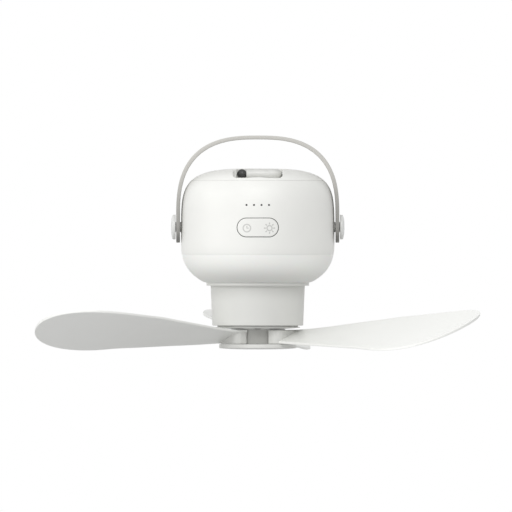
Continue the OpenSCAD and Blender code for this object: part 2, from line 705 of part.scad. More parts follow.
module pivot_caps() color("white") hang() translate([0, 0, pivot_z]) both_sides() difference() {
    translate([cap_x, 0, 0]) rotate([0, 90, 0]) rotate_extrude() polygon([
        [0, 0], [9.6, 0], [9.9, 0.3], [9.9, 1.8], [9.6, 2.3],
        [8.9, 2.7], [7.8, 3], [6, 3.3], [3, 3.53], [0, 3.6]]);
    rod_x(cap_x - 1, cap_x + 1.6, 4.8);
}

module rocker_key() color("white") hang() {
    intersection() {
        body_wall(key_wall);
        translate([0, 0, key_z]) capsule_y(key_w, key_h, -70, -50);
    }
    // the rib that holds the pin, the pin, and a post over each switch
    translate([-2.5, -59.6, key_z - 6.8]) cube([5, 3.5, 13.6]);
    translate([0, key_axis_y, key_z - 12]) cylinder(r = 1, h = 24, $fn = 48);
    both_sides() translate([switch_x, 0, key_z]) rod_y(-59.2, -54.9, 1.4);
}

module hook_pin() color("silver") hang() translate([0, 0, hook_z]) rod_x(-22.5, 22.5, pin_r);

module hanging_hook() color("lightgray") hang() translate([0, 0, hook_z]) difference() {
    union() {
        rod_x(barrel_end_x, stem_x - bend_r, rod_r);
        translate([stem_x - bend_r, -bend_r, 0]) rotate_extrude(angle = 90) translate([bend_r, 0])
            circle(r = rod_r);
        translate([stem_x - bend_r, bend_r - hook_reach, 0]) rotate([0, 0, -90])
            rotate_extrude(angle = 90) translate([bend_r, 0]) circle(r = rod_r);
        translate([stem_x, 0, 0]) rod_y(-hook_reach + bend_r, -bend_r, rod_r);
        translate([0, -hook_reach, 0]) rod_x(tip_x + 3.6, stem_x - bend_r, rod_r);
        translate([0, -hook_reach, 0]) rod_x(tip_x - 0.4, tip_x + 4, 2);
    }
    rod_x(-30, 30, pin_r + slack);
}

module hook_tip() color("dimgray") hang() translate([0, -hook_reach, hook_z]) difference() {
    intersection() {
        translate([tip_x, 0, 0]) sphere(r = 3.9);
        rod_x(tip_x - 6, tip_x + 3.55, 8);
    }
    rod_x(tip_x - 0.45, tip_x + 10, 2.02);
}

// ---------------------------------------------------------------- wires

// a round wire swept along a list of points, with a ring of sides at each point
wire_sides = 8;
function unit(v) = v / norm(v);
function heading(p, i) = unit(p[min(i + 1, len(p) - 1)] - p[max(i - 1, 0)]);
function side_of(d) = unit(cross(d, abs(d[2]) < 0.8 ? [0, 0, 1] : [1, 0, 0]));
module wire(p, r) {
    points = [for (i = [0:len(p) - 1]) let (d = heading(p, i), a = side_of(d), b = cross(d, a))
        for (k = [0:wire_sides - 1]) p[i] + r * (cos(k * 45) * a + sin(k * 45) * b)];
    faces = concat(
        [[for (k = [wire_sides - 1:-1:0]) k]],
        [for (i = [0:len(p) - 2], k = [0:wire_sides - 1]) let (
                a = i * wire_sides + k,
                b = i * wire_sides + (k + 1) % wire_sides)
            each [[a, b, a + wire_sides], [b, b + wire_sides, a + wire_sides]]],
        [[for (k = [0:wire_sides - 1]) (len(p) - 1) * wire_sides + k]]);
    polyhedron(points = points, faces = faces, convexity = 6);
}

battery_lead = [[-33.9, -5, 62], [-35.5, -8, 64], [-35, -16, 66], [-32, -26, 66], [-26, -36, 67],
    [-18, -43, 67], [-12, -46, 66], [-12, -48.6, 66]];
module battery_leads() color("firebrick") hang() {
    wire(battery_lead, 0.8);
    mirror([1, 0, 0]) wire(battery_lead, 0.8);
}

// The motor's three leads run side by side: up beside the motor mount, forward under the frame,
// up through the frame and forward to the main board.
lead_pitch = 1.7;
lead_bend = 6;
lead_y = -24.5;          // where the leads pass the frame
lead_x = 9;
function motor_lead(o) = concat(
    [[17, o, -8.1], [18.4, o, -7], [19.5, o, -4], [19.5, o, 4]],
    [for (a = [0:30:90]) [19.5, -lead_bend + (lead_bend + o) * cos(a), 12 + (lead_bend + o) * sin(a)]],
    [[15, -11, 18.2 + o], [11, -15, 18.4 + o]],
    [for (a = [0:30:90]) [lead_x, lead_y + lead_bend - (lead_bend - o) * sin(a),
        24.5 - (lead_bend - o) * cos(a)]],
    [for (a = [0:30:90]) [lead_x, lead_y - lead_bend + (lead_bend + o) * cos(a),
        40 + (lead_bend + o) * sin(a)]],
    [[lead_x, -42, 46.5 + o], [lead_x, -48.6, 47 + o]]);
module motor_leads() color("goldenrod") hang() for (i = [-1:1]) wire(motor_lead(i * lead_pitch), 0.7);

body_shell();
top_cover();
light_diffuser();
motor_housing();
base_plate();
base_screws();
mid_frame();
casing_screws();
cover_screws();
battery_holder();
battery_cells();
battery_tabs();
main_board();
tact_switches();
status_leds();
light_pipes();
key_frame();
charging_board();
charging_socket();
led_board();
lamp_leds();
driver_board();
motor_mount();
motor_screws();
stator_core();
stator_windings();
upper_bearing();
lower_bearing();
pivot_screws();
inner_washers();
outer_washers();
pivot_caps();
hook_pin();
battery_leads();
motor_leads();
handle_strap();
strap_eyelets();
rocker_key();
hanging_hook();
hook_tip();
shaft();
circlip();
bell();
magnets();
hub();
drive_pin();
blade_1();
blade_2();
blade_3();
blade_screws();
hub_cap();
cap_screw();
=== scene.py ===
# %% [markdown]
# # A portable camping fan, dressed in Blender
# The CAD model gives the solids of the fan: a round battery body that hangs from a strap handle,
# and a rotor with three wide blades below it. This lesson dresses them: finer curved skins for the
# moulded parts, a stitched strap, printed icons, and a procedural finish for every piece.

import json
import math

import bmesh
import bpy
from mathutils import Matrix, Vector


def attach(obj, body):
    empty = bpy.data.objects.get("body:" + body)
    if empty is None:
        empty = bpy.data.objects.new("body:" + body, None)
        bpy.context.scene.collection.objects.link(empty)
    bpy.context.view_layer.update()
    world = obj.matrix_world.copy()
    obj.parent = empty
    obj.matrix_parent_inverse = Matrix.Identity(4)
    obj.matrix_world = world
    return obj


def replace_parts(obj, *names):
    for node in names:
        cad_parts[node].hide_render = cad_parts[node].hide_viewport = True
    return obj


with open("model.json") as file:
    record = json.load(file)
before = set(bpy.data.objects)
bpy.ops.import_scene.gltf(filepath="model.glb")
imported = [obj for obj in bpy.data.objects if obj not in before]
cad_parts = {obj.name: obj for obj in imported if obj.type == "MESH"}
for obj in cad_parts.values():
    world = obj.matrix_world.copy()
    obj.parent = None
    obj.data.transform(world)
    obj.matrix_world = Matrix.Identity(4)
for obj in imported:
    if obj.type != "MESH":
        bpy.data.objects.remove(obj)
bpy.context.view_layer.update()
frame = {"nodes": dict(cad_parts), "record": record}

# %% [markdown]
# All sizes below are in millimetres, with heights measured from the top of the motor housing, as a
# maker would write them. The CAD frame has its origin at the hanging point, in metres, so one small
# function does the conversion, and every mesh goes through it.

# %% Units and a mesh maker
DROP = 117.4                                  # from the hanging point down to the housing's top
CRISP_ANGLE = 35


def place(p):
    """A point in millimetres, with its height above the motor housing, in the CAD frame."""
    return (p[0] / 1000, p[1] / 1000, (p[2] - DROP) / 1000)


def new_piece(name, points, faces, body, smooth_angle=CRISP_ANGLE):
    """A mesh object from points in millimetres, riding on a CAD body."""
    mesh = bpy.data.meshes.new(name)
    mesh.from_pydata([place(p) for p in points], [], faces)
    mesh.validate()
    work = bmesh.new()
    work.from_mesh(mesh)
    bmesh.ops.recalc_face_normals(work, faces=work.faces)
    work.to_mesh(mesh)
    work.free()
    piece = bpy.data.objects.new(name, mesh)
    bpy.context.scene.collection.objects.link(piece)
    shade(piece, smooth_angle)
    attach(piece, body)
    return piece


def shade(piece, angle):
    """Smooth shading, with edges sharper than the angle kept crisp."""
    piece.data.polygons.foreach_set("use_smooth", [True] * len(piece.data.polygons))
    piece.data.set_sharp_from_angle(angle=math.radians(angle))


# %% [markdown]
# The view is level, with hardly any perspective. An orthographic camera would have none at all,
# but its frame keeps one width however far away it stands. A perspective camera far away with a
# long lens comes close to that look, and it can be moved back until a turned fan fits the frame.

# %% Camera
CAMERA_AWAY, VIEW_WIDTH = 18.0, 0.4108        # metres; the width is what the frame shows at the fan
VIEW_X, VIEW_Z = -0.0014, -0.0936             # the middle of the frame
CLIP_END = 40
camera_data = bpy.data.cameras.new("camera")
camera = bpy.data.objects.new("camera", camera_data)
bpy.context.scene.collection.objects.link(camera)
bpy.context.scene.camera = camera
camera_data.sensor_width = 36
camera_data.lens = camera_data.sensor_width * CAMERA_AWAY / VIEW_WIDTH
camera_data.clip_end = CLIP_END
camera.location = (VIEW_X, -CAMERA_AWAY, VIEW_Z)
camera.rotation_euler = (math.pi / 2, 0, 0)
print("lens, mm:", round(camera_data.lens, 1))

# %% [markdown]
# Shader maths is easier to read as plain expressions. One small class wraps a node socket and
# overloads the arithmetic operators, so `0.4 + 0.1 * grain` adds the Math nodes by itself. Colours
# go through Mix nodes, because a Math node would turn them grey.


# %% A small language for materials
class Wire:
    """A socket of a node tree that takes part in plain arithmetic."""

    def __init__(self, tree, socket):
        self.tree = tree
        self.socket = socket

    def math(self, operation, *others):
        return node(self.tree, "ShaderNodeMath", dict(operation=operation), self, *others)

    def __add__(self, other):
        return self.math("ADD", other)

    def __sub__(self, other):
        return self.math("SUBTRACT", other)

    def __mul__(self, other):
        return self.math("MULTIPLY", other)

    def __rsub__(self, other):
        return node(self.tree, "ShaderNodeMath", dict(operation="SUBTRACT"), other, self)

    __radd__ = __add__
    __rmul__ = __mul__

    def smooth(self, low, high):
        """0 below low, 1 above high, and a soft step between them."""
        return node(self.tree, "ShaderNodeMapRange",
                    dict(interpolation_type="SMOOTHSTEP"), self, low, high, 0.0, 1.0)


def node(tree, kind, settings, *inputs, out=0, **named):
    """Adds a node, with its settings first, then the values or links of its sockets."""
    made = tree.nodes.new(kind)
    for key, value in settings.items():
        setattr(made, key, value)
    for key, value in [*enumerate(inputs), *named.items()]:
        socket = made.inputs[key if isinstance(key, int) else key.replace("_", " ")]
        if isinstance(value, Wire):
            tree.links.new(value.socket, socket)
        elif value is not None:
            socket.default_value = value
    return Wire(tree, made.outputs[out])


def colour(tree, factor, first, second):
    """A colour between two colours, by a factor from 0 to 1."""
    made = tree.nodes.new("ShaderNodeMix")
    made.data_type = "RGBA"
    tree.links.new(factor.socket, made.inputs[0])
    for socket, value in ((made.inputs[6], first), (made.inputs[7], second)):
        if isinstance(value, Wire):
            tree.links.new(value.socket, socket)
        else:
            socket.default_value = (*value, 1)
    return Wire(tree, made.outputs[2])


def spots(tree, scale, detail=2.0, roughness=0.5, stretch=(1, 1, 1)):
    """Noise in the object's own coordinates, so that it moves with the part. Scale is in 1/m."""
    where = node(tree, "ShaderNodeTexCoord", {}, out="Object")
    if stretch != (1, 1, 1):
        where = node(tree, "ShaderNodeVectorMath", dict(operation="MULTIPLY"), where, stretch)
    return node(tree, "ShaderNodeTexNoise", {}, Vector=where, Scale=scale, Detail=detail,
                Roughness=roughness)


def height_mm(tree):
    """Height above the top of the motor housing."""
    where = node(tree, "ShaderNodeTexCoord", {}, out="Object")
    return 1000 * node(tree, "ShaderNodeSeparateXYZ", {}, where, out="Z") + DROP


def from_axis_mm(tree):
    """Distance from the fan's axis."""
    where = node(tree, "ShaderNodeTexCoord", {}, out="Object")
    level = node(tree, "ShaderNodeVectorMath", dict(operation="MULTIPLY"), where, (1, 1, 0))
    return 1000 * node(tree, "ShaderNodeVectorMath", dict(operation="LENGTH"), level, out="Value")


def relief(tree, height, depth_mm):
    """A Bump node: height from 0 to 1 stands for this depth."""
    return node(tree, "ShaderNodeBump", {}, Height=height, Strength=1.0, Distance=depth_mm / 1000)


def new_material(name, base, rough, **constants):
    """A Principled material with its constant values set on the shader's own sockets."""
    material = bpy.data.materials.new(name)
    material.use_nodes = True
    tree = material.node_tree
    shader = tree.nodes["Principled BSDF"]
    shader.inputs["Base Color"].default_value = (*base, 1)
    shader.inputs["Roughness"].default_value = rough
    for key, value in constants.items():
        shader.inputs[key.replace("_", " ")].default_value = value
    material.diffuse_color = (*base, 1)
    return material, tree, shader.inputs


def feed(tree, socket, wire):
    tree.links.new(wire.socket, socket)


# %% [markdown]
# Moulded plastic isn't one flat colour. Moulds for parts like these are often spark-eroded, which
# leaves a fine satin grain, the gloss varies a little, and the tint drifts slightly. One function
# makes all the moulded finishes, with different grain, gloss and colour. Two parts also blend into
# a tone of painted shade: the blades are painted darker near the hub and paler towards their tips,
# and the housing gets a painted shadow band just below its flange.

# %% Moulded plastic
BROAD_SCALE, TOUCH_SCALE = 28.0, 95.0         # noise sizes, in 1/m: tint drift and handling
BLADE_SHADE_FROM, BLADE_SHADE_TO = 30.0, 190.0              # distances from the axis over which the blades' painted shade fades out
SHADOW_BAND_LOW, SHADOW_BAND_HIGH = -14.0, -1.0             # heights over which the housing's painted shadow band darkens
SHADOW_LIP_LOW, SHADOW_LIP_HIGH = -0.8, 0.2                 # and over which it ends, under the flange


def moulded(name, base, rough=0.42, grain_mm=0.012, grain_scale=2600.0, drift=0.03, handling=0.06,
            second=None, **constants):
    """The optional pair is a tone of painted shade and a function giving its share over the part."""
    material, tree, sockets = new_material(name, base, rough, **constants)
    broad = spots(tree, BROAD_SCALE, 3.0)
    touched = spots(tree, TOUCH_SCALE, 4.0, 0.6)
    fine = spots(tree, grain_scale, 2.0, 0.7)
    darker = tuple(c * (1 - drift) for c in base)
    tone = colour(tree, broad.smooth(0.3, 0.7), darker, base)
    # painted shade blended over the part, where a pair is given
    if second:
        tone = colour(tree, second[1](tree), tone, second[0])
    feed(tree, sockets["Base Color"], tone)
    feed(tree, sockets["Roughness"], rough - handling / 2 + handling * touched + 0.05 * fine)
    feed(tree, sockets["Normal"], relief(tree, fine, grain_mm))
    return material


def painted_blade_shading(tree):
    """Painted shade on the blades: share of the paler tone, none near the hub, all near the tips."""
    return from_axis_mm(tree).smooth(BLADE_SHADE_FROM, BLADE_SHADE_TO)


def painted_flange_shadow(tree):
    """The share of the housing's darker tone: a painted shadow band ending sharply under the flange."""
    height = height_mm(tree)
    return height.smooth(SHADOW_BAND_LOW, SHADOW_BAND_HIGH) - height.smooth(SHADOW_LIP_LOW, SHADOW_LIP_HIGH)


MOULDED = {
    "shell_white": dict(base=(0.875, 0.876, 0.848)),
    # the housing: white painted darker as shade, plus a painted shadow band under the flange
    "housing_white": dict(base=(0.72, 0.722, 0.695), rough=0.45,
                          second=((0.635, 0.637, 0.612), painted_flange_shadow)),
    "disc_white": dict(base=(0.77, 0.772, 0.745)),
    "key_white": dict(base=(0.875, 0.876, 0.848), rough=0.36, grain_mm=0.006, grain_scale=3000.0),
    "cap_white": dict(base=(0.745, 0.75, 0.735), rough=0.3, grain_mm=0.004, grain_scale=3000.0),
    # the blades: painted shade, darker near the hub and paler towards the tips
    "blade_white": dict(base=(0.85, 0.855, 0.825), rough=0.38, grain_mm=0.008, grain_scale=2200.0,
                        second=((0.93, 0.935, 0.91), painted_blade_shading)),
    # the blade roots: the blade's white painted darker as shade
    "root_white_painted_shade": dict(base=(0.70, 0.702, 0.675), rough=0.45),
    "hub_grey": dict(base=(0.44, 0.44, 0.42), rough=0.45),
    "washer_grey": dict(base=(0.75, 0.75, 0.73), rough=0.5),
    "frame_grey": dict(base=(0.34, 0.34, 0.34), rough=0.55),
    "holder_black": dict(base=(0.02, 0.02, 0.02), rough=0.55, drift=0.2),
    "cell_green": dict(base=(0.03, 0.22, 0.13), rough=0.25, grain_mm=0.02, grain_scale=300.0,
                       drift=0.15),
    "board_white": dict(base=(0.8, 0.8, 0.75), rough=0.3, grain_mm=0.003),
    "led_yellow": dict(base=(0.8, 0.62, 0.14), rough=0.35, grain_mm=0.003),
    "pipe_smoke": dict(base=(0.03, 0.03, 0.03), rough=0.2, grain_mm=0.001, Coat_Weight=0.4),
    "wire_red": dict(base=(0.45, 0.02, 0.015), rough=0.5, grain_mm=0.004),
    "wire_yellow": dict(base=(0.55, 0.38, 0.02), rough=0.5, grain_mm=0.004),
    "icon_grey": dict(base=(0.62, 0.62, 0.6), rough=0.5, grain_mm=0.002),
    "tip_rubber": dict(base=(0.045, 0.045, 0.045), rough=0.3, grain_mm=0.01, grain_scale=1500.0,
                       drift=0.2),
    "thread": dict(base=(0.62, 0.61, 0.57), rough=0.7, grain_mm=0.05, grain_scale=5000.0),
}
finishes = {name: moulded(name, **look) for name, look in MOULDED.items()}
print("moulded finishes:", len(finishes))

# %% [markdown]
# The lamp bowl is milky plastic that lets light sink in a short way. Towards its foot the bowl
# is painted a greyer tone, as shade.

# %% Opal plastic
BOWL_SHADE_FULL, BOWL_SHADE_NONE = 1.0, 19.0             # heights between the painted shade at the foot and the clear tone


def opal(name, base, foot):
    material, tree, sockets = new_material(name, base, 0.36, Subsurface_Weight=0.05,
                                           Subsurface_Scale=0.002)
    clear = height_mm(tree).smooth(BOWL_SHADE_FULL, BOWL_SHADE_NONE)
    fine = spots(tree, 3400.0, 2.0, 0.7)
    flow = spots(tree, 35.0, 2.0)
    # the colour greys towards the foot: painted shade
    feed(tree, sockets["Base Color"], colour(tree, clear - 0.04 * flow, foot, base))
    feed(tree, sockets["Roughness"], 0.33 + 0.06 * spots(tree, TOUCH_SCALE, 4.0, 0.6) + 0.04 * fine)
    feed(tree, sockets["Normal"], relief(tree, fine, 0.006))
    return material


# the last colour is the painted shade at the bowl's foot
finishes["lamp_opal"] = opal("lamp_opal", (0.935, 0.937, 0.91), (0.715, 0.718, 0.695))
print("opal finish:", finishes["lamp_opal"].name)

# %% [markdown]
# Metals get their look from how they were made: turned and drawn parts show fine rings or lines
# along one direction, plated ones are smoother with small dull spots, and paint has a soft orange
# peel. Stretching the noise along one axis gives the lines.


# %% Metal, paint and board finishes
def metal(name, base, rough, stretch=(1, 1, 30), scale=900.0, depth_mm=0.004):
    material, tree, sockets = new_material(name, base, rough, Metallic=1.0)
    lines = spots(tree, scale, 3.0, 0.6, stretch)
    dull = spots(tree, 240.0, 4.0, 0.6)
    feed(tree, sockets["Base Color"],
         colour(tree, dull.smooth(0.35, 0.75), base, tuple(0.8 * c for c in base)))
    feed(tree, sockets["Roughness"], rough + 0.15 * lines + 0.1 * dull - 0.1)
    feed(tree, sockets["Normal"], relief(tree, lines, depth_mm))
    return material


def painted(name, base, rough):
    material, tree, sockets = new_material(name, base, rough, Coat_Roughness=0.2)
    peel = spots(tree, 700.0, 2.0, 0.5)
    wear = spots(tree, 160.0, 5.0, 0.65)
    feed(tree, sockets["Base Color"],
         colour(tree, wear.smooth(0.45, 0.8), base, tuple(0.9 * c for c in base)))
    feed(tree, sockets["Roughness"], rough + 0.12 * wear - 0.06)
    feed(tree, sockets["Normal"], relief(tree, peel, 0.02))
    return material


def board(name, mask_colour, track_colour):
    material, tree, sockets = new_material(name, mask_colour, 0.3)
    tracks = spots(tree, 420.0, 0.0, 0.5, (1, 1, 3))
    feed(tree, sockets["Base Color"],
         colour(tree, tracks.smooth(0.49, 0.51), mask_colour, track_colour))
    feed(tree, sockets["Normal"], relief(tree, tracks.smooth(0.48, 0.52), 0.03))
    feed(tree, sockets["Roughness"], 0.28 + 0.1 * spots(tree, 1500.0))
    return material


finishes.update({
    "steel": metal("steel", (0.6, 0.6, 0.6), 0.32),
    "nickel": metal("nickel", (0.62, 0.58, 0.52), 0.3, (30, 1, 1)),
    "mount_alloy": metal("mount_alloy", (0.7, 0.7, 0.71), 0.35),
    "core_steel": metal("core_steel", (0.22, 0.23, 0.25), 0.5, (1, 1, 60), 200.0, 0.05),
    "copper": metal("copper", (0.65, 0.25, 0.09), 0.35, (1, 1, 0.1), 2500.0, 0.1),
    "hook_paint": painted("hook_paint", (0.7, 0.7, 0.68), 0.35),
    "bell_alloy": painted("bell_alloy", (0.1, 0.1, 0.105), 0.4),
    "magnet": painted("magnet", (0.12, 0.12, 0.125), 0.35),
    "board_green": board("board_green", (0.01, 0.09, 0.03), (0.015, 0.15, 0.045)),
})

# %% [markdown]
# The strap is coated leather. Its grain is a field of small pebbles: a Voronoi texture gives the
# cells, fine noise breaks them up, and the creases between them are rougher and painted a little
# darker, as shade. The cut edges are sealed with a smooth edge paint, which an attribute on the
# mesh marks. Down the legs the edge paint is painted darker as shade, darkest round the pivots.

# %% Leather
# painted shade on the edge paint: darker down the legs, and more at the feet
LEG_SHADE_FULL_BELOW, LEG_SHADE_NONE_ABOVE, LEG_SHADE_SHARE = 40.0, 105.0, 0.55
FOOT_SHADE_LOW, FOOT_SHADE_HIGH, FOOT_SHADE_SHARE = 34.5, 47.0, 0.62
WOBBLE, CELLS_SCALE = 0.0009, 1100.0


def multiply(tree, tone, share):
    """A colour made darker, as a vector times a number."""
    return node(tree, "ShaderNodeVectorMath", dict(operation="SCALE"), tone, Scale=share)


def leather(name, base, edge_base):
    material, tree, sockets = new_material(name, base, 0.5, Specular_IOR_Level=0.4)
    where = node(tree, "ShaderNodeTexCoord", {}, out="Object")
    wobble = node(tree, "ShaderNodeTexNoise", {}, Vector=where, Scale=500.0, Detail=2.0, out="Color")
    small = node(tree, "ShaderNodeVectorMath", dict(operation="MULTIPLY"), wobble, (WOBBLE,) * 3)
    bent = node(tree, "ShaderNodeVectorMath", dict(operation="ADD"), where, small)
    cells = node(tree, "ShaderNodeTexVoronoi", dict(feature="DISTANCE_TO_EDGE"), Vector=bent,
                 Scale=CELLS_SCALE)
    pebble = cells.smooth(0.0, 0.25)
    fine = spots(tree, 4000.0, 2.0)
    broad = spots(tree, 45.0, 4.0, 0.6)
    edge = node(tree, "ShaderNodeAttribute", dict(attribute_name="edge_paint"), out="Fac")
    # painted shade: the creases between the pebbles are darker
    crease_shade = colour(tree, pebble, tuple(0.72 * c for c in base), base)
    toned = colour(tree, broad.smooth(0.3, 0.75), crease_shade, tuple(1.08 * c for c in base))
    # painted shade: the edge paint darkens down the legs and again round the pivots
    leg_shade = 1 - (1 - LEG_SHADE_SHARE) * height_mm(tree).smooth(LEG_SHADE_NONE_ABOVE, LEG_SHADE_FULL_BELOW)
    foot = 1 - (1 - FOOT_SHADE_SHARE) * height_mm(tree).smooth(FOOT_SHADE_HIGH, FOOT_SHADE_LOW)
    edge_paint_and_shade = multiply(tree, edge_base, leg_shade * foot)
    feed(tree, sockets["Base Color"], colour(tree, edge, toned, edge_paint_and_shade))
    feed(tree, sockets["Roughness"], 0.55 - 0.1 * pebble + 0.08 * fine - 0.05 * edge)
    feed(tree, sockets["Normal"], relief(tree, (pebble + 0.15 * fine) * (1 - edge), 0.09))
    return material


finishes["strap_leather"] = leather("strap_leather", (0.52, 0.51, 0.48), (0.56, 0.55, 0.52))
print("all finishes:", len(finishes))

# %% [markdown]
# Every CAD node gets the finish of its material slot in the record. A piece of this lesson that
# takes a node's place gets its finish through one helper.


# %% Finishes on the CAD nodes
def finish(piece, name):
    """Gives a piece the finish of this name."""
    piece.data.materials.clear()
    piece.data.materials.append(finishes[name])
    return piece


slots = {row["node"]: row["material_slot"] for row in frame["record"]["subparts"]}
for name, part in frame["nodes"].items():
    part.data.materials.clear()
    part.data.materials.append(finishes[slots[name]])
print("CAD nodes with a finish:", len(slots))

# %% [markdown]
# The body is a turned shape: one curve from the top of the dome down to the foot of the lamp bowl,
# spun round the axis. Above its widest line the curve is a squared-off ellipse, and below it a
# rounder one. Sampling it finely is what makes the highlight run smoothly over the seams.

# %% The body's curve
BODY_R, WIDEST, DOME_H, BOWL_H = 61.5, 34.0, 60.0, 38.5
DOME_SIDE, DOME_TOP, BOWL_N = 3.4, 5.4, 2.5
WALL = 2.2
CURVE_STEPS = 600


def radius_at(z, inset=0.0):
    """Outer radius of the body at a height; inset draws the whole curve inwards."""
    if z >= WIDEST:
        share = min((z - WIDEST) / (DOME_H - inset), 1.0)
        return (BODY_R - inset) * (1 - share ** DOME_TOP) ** (1 / DOME_SIDE)
    share = min((WIDEST - z) / (BOWL_H - inset), 1.0)
    return (BODY_R - inset) * (1 - share ** BOWL_N) ** (1 / BOWL_N)


def height_at(r, inset=0.0):
    """Height of the dome at a distance from the axis."""
    share = min(r / (BODY_R - inset), 1.0)
    return WIDEST + (DOME_H - inset) * (1 - share ** DOME_SIDE) ** (1 / DOME_TOP)


def evenly(points, count):
    """The same curve as count points, evenly spaced along it."""
    lengths = [0.0]
    for a, b in zip(points, points[1:]):
        lengths.append(lengths[-1] + math.dist(a, b))
    found, k = [], 0
    for i in range(count):
        want = lengths[-1] * i / (count - 1)
        while k < len(points) - 2 and lengths[k + 1] < want:
            k += 1
        t = (want - lengths[k]) / max(lengths[k + 1] - lengths[k], 1e-9)
        found.append(tuple(a + (b - a) * t for a, b in zip(points[k], points[k + 1])))
    return found


def wall_curve(z0, z1, inset=0.0):
    """(radius, height) from one height up to another along the body's curve."""
    heights = [z0 + (z1 - z0) * (1 - (1 - i / CURVE_STEPS) ** 2) for i in range(CURVE_STEPS + 1)]
    return [(radius_at(z, inset), z) for z in heights]


def spun(name, profile, put, body, segments, closed):
    """Spins a profile round an axis; put(radius, place along the axis, angle) makes each point."""
    points, faces, rings = [], [], []
    for r, along in profile:
        count = 1 if r < 1e-4 else segments
        rings.append(range(len(points), len(points) + count))
        points += [put(r if count > 1 else 0, along, 2 * math.pi * k / segments) for k in range(count)]
    pairs = list(zip(rings, rings[1:]))
    if closed and len(rings[0]) > 1 and len(rings[-1]) > 1:
        pairs.append((rings[-1], rings[0]))
    for low, high in pairs:
        for k in range(segments if len(low) > 1 or len(high) > 1 else 0):
            n = (k + 1) % segments
            if len(low) == 1:
                faces.append((low[0], high[n], high[k]))
            elif len(high) == 1:
                faces.append((low[k], low[n], high[0]))
            else:
                faces.append((low[k], low[n], high[n], high[k]))
    return new_piece(name, points, faces, body)


def turned(name, profile, body, segments=192):
    """Spins a closed profile of (radius, height) points round the fan's axis."""
    def put(r, z, a):
        return (r * math.cos(a), r * math.sin(a), z)

    return spun(name, profile, put, body, segments, True)


def arc(cx, cz, r, start, end, steps):
    """Points on a circle in a profile, by angles in degrees."""
    return [(cx + r * math.cos(math.radians(start + (end - start) * i / steps)),
             cz + r * math.sin(math.radians(start + (end - start) * i / steps)))
            for i in range(steps + 1)]


# %% [markdown]
# Openings are cut with the Boolean modifier, which is then applied so that the final mesh is
# plain. The cutters are simple prisms: capsules for the key and the charging inlet, and small,
# nearly round ones for the lights.


# %% Cutters
def capsule_outline(w, h, steps=24):
    """Outline of a capsule lying along x, as (x, z) points about its centre."""
    half, r, points = (w - h) / 2, h / 2, []
    for side, start in ((1, -90), (-1, 90)):
        for i in range(steps + 1):
            a = math.radians(start + 180 * i / steps)
            points.append((side * half + r * math.cos(a), r * math.sin(a)))
    return points


def prism(outline, ends, put):
    """An outline drawn out from one end to the other; put(a, b, end) makes each point."""
    n = len(outline)
    points = [put(a, b, end) for end in ends for a, b in outline]
    faces = [tuple(range(n)), tuple(range(2 * n - 1, n - 1, -1))]
    faces += [(k, (k + 1) % n, n + (k + 1) % n, n + k) for k in range(n)]
    return points, faces


def prism_y(outline, x, z, ends):
    """A prism along y, of an outline in x and z that is moved to a place."""
    return prism(outline, ends, lambda a, b, y: (x + a, y, z + b))


def prism_z(outline, ends):
    """A prism along z, of an outline in x and y."""
    return prism(outline, ends, lambda a, b, z: (a, b, z))


def carve(piece, cutters):
    """Cuts shapes out of a piece, and keeps the result as its mesh."""
    for points, faces in cutters:
        tool = new_piece("cutter", points, faces, "casing")
        change = piece.modifiers.new("cut", "BOOLEAN")
        change.object, change.operation, change.solver = tool, "DIFFERENCE", "EXACT"
        ready = piece.evaluated_get(bpy.context.evaluated_depsgraph_get())
        mesh = bpy.data.meshes.new_from_object(ready)
        piece.modifiers.clear()
        piece.data = mesh
        bpy.data.objects.remove(tool)
    shade(piece, CRISP_ANGLE)


# %% [markdown]
# ## The body shell
# The middle of the body carries the key in front, four pinholes for the charge lights and the
# charging inlet at the back. Its edges at the two seams are rounded a little, so each seam reads as
# a fine dark line with a soft edge and not as a gap between two sheets.

# %% Body shell
COVER_SEAM, LAMP_SEAM, SEAM = 84.2, 24.8, 0.06
EDGE = 0.12
KEY_W, KEY_H, KEY_GAP, KEY_Z = 32.7, 14.7, 0.5, 46.6
LIGHTS_Z, LIGHTS_PITCH, LIGHT_W, LIGHT_H = 64.6, 6.0, 1.61, 1.6
SOCKET_Z, SOCKET_W, SOCKET_H = 40.0, 9.8, 4.0
FRONT_CUT, BACK_CUT = (-75, -45), (45, 75)    # how far along y the cutters reach
SHELL_SEGMENTS = 288


def shell_profile(z0, z1, count):
    """A wall between two heights, with small round edges outside."""
    outer = evenly(wall_curve(z0 + EDGE, z1 - EDGE), count)
    inner = evenly(wall_curve(z0, z1, WALL), count // 3)
    low_r, high_r = radius_at(z0 + EDGE) - EDGE, radius_at(z1 - EDGE) - EDGE
    low = arc(low_r, z0 + EDGE, EDGE, -90, 0, 4)[:-1]
    high = arc(high_r, z1 - EDGE, EDGE, 0, 90, 4)[1:]
    return low + outer + high + inner[::-1]


shell = turned("body_skin", shell_profile(LAMP_SEAM + SEAM / 2, COVER_SEAM - SEAM / 2, 90), "casing",
               segments=SHELL_SEGMENTS)
holes = [prism_y(capsule_outline(KEY_W + 2 * KEY_GAP, KEY_H + 2 * KEY_GAP), 0, KEY_Z, FRONT_CUT),
         prism_y(capsule_outline(SOCKET_W, SOCKET_H, 12), 0, SOCKET_Z, BACK_CUT)]
holes += [prism_y(capsule_outline(LIGHT_W, LIGHT_H, 10), i * LIGHTS_PITCH, LIGHTS_Z, FRONT_CUT)
          for i in (-1.5, -0.5, 0.5, 1.5)]
carve(shell, holes)
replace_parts(finish(shell, "shell_white"), "body_shell")
print("body shell faces:", len(shell.data.polygons))

# %% [markdown]
# The strap turns on two bosses at the sides of the shell. They are turned shapes as well, but
# round the handle's pivot axis, which lies across the fan.

# %% Pivot bosses
PIVOT_Z = 47.0
BOSS_R, BOSS_BORE, BOSS_IN, BOSS_OUT, BOSS_EDGE = 4.2, 2.1, 60, 61.65, 0.15


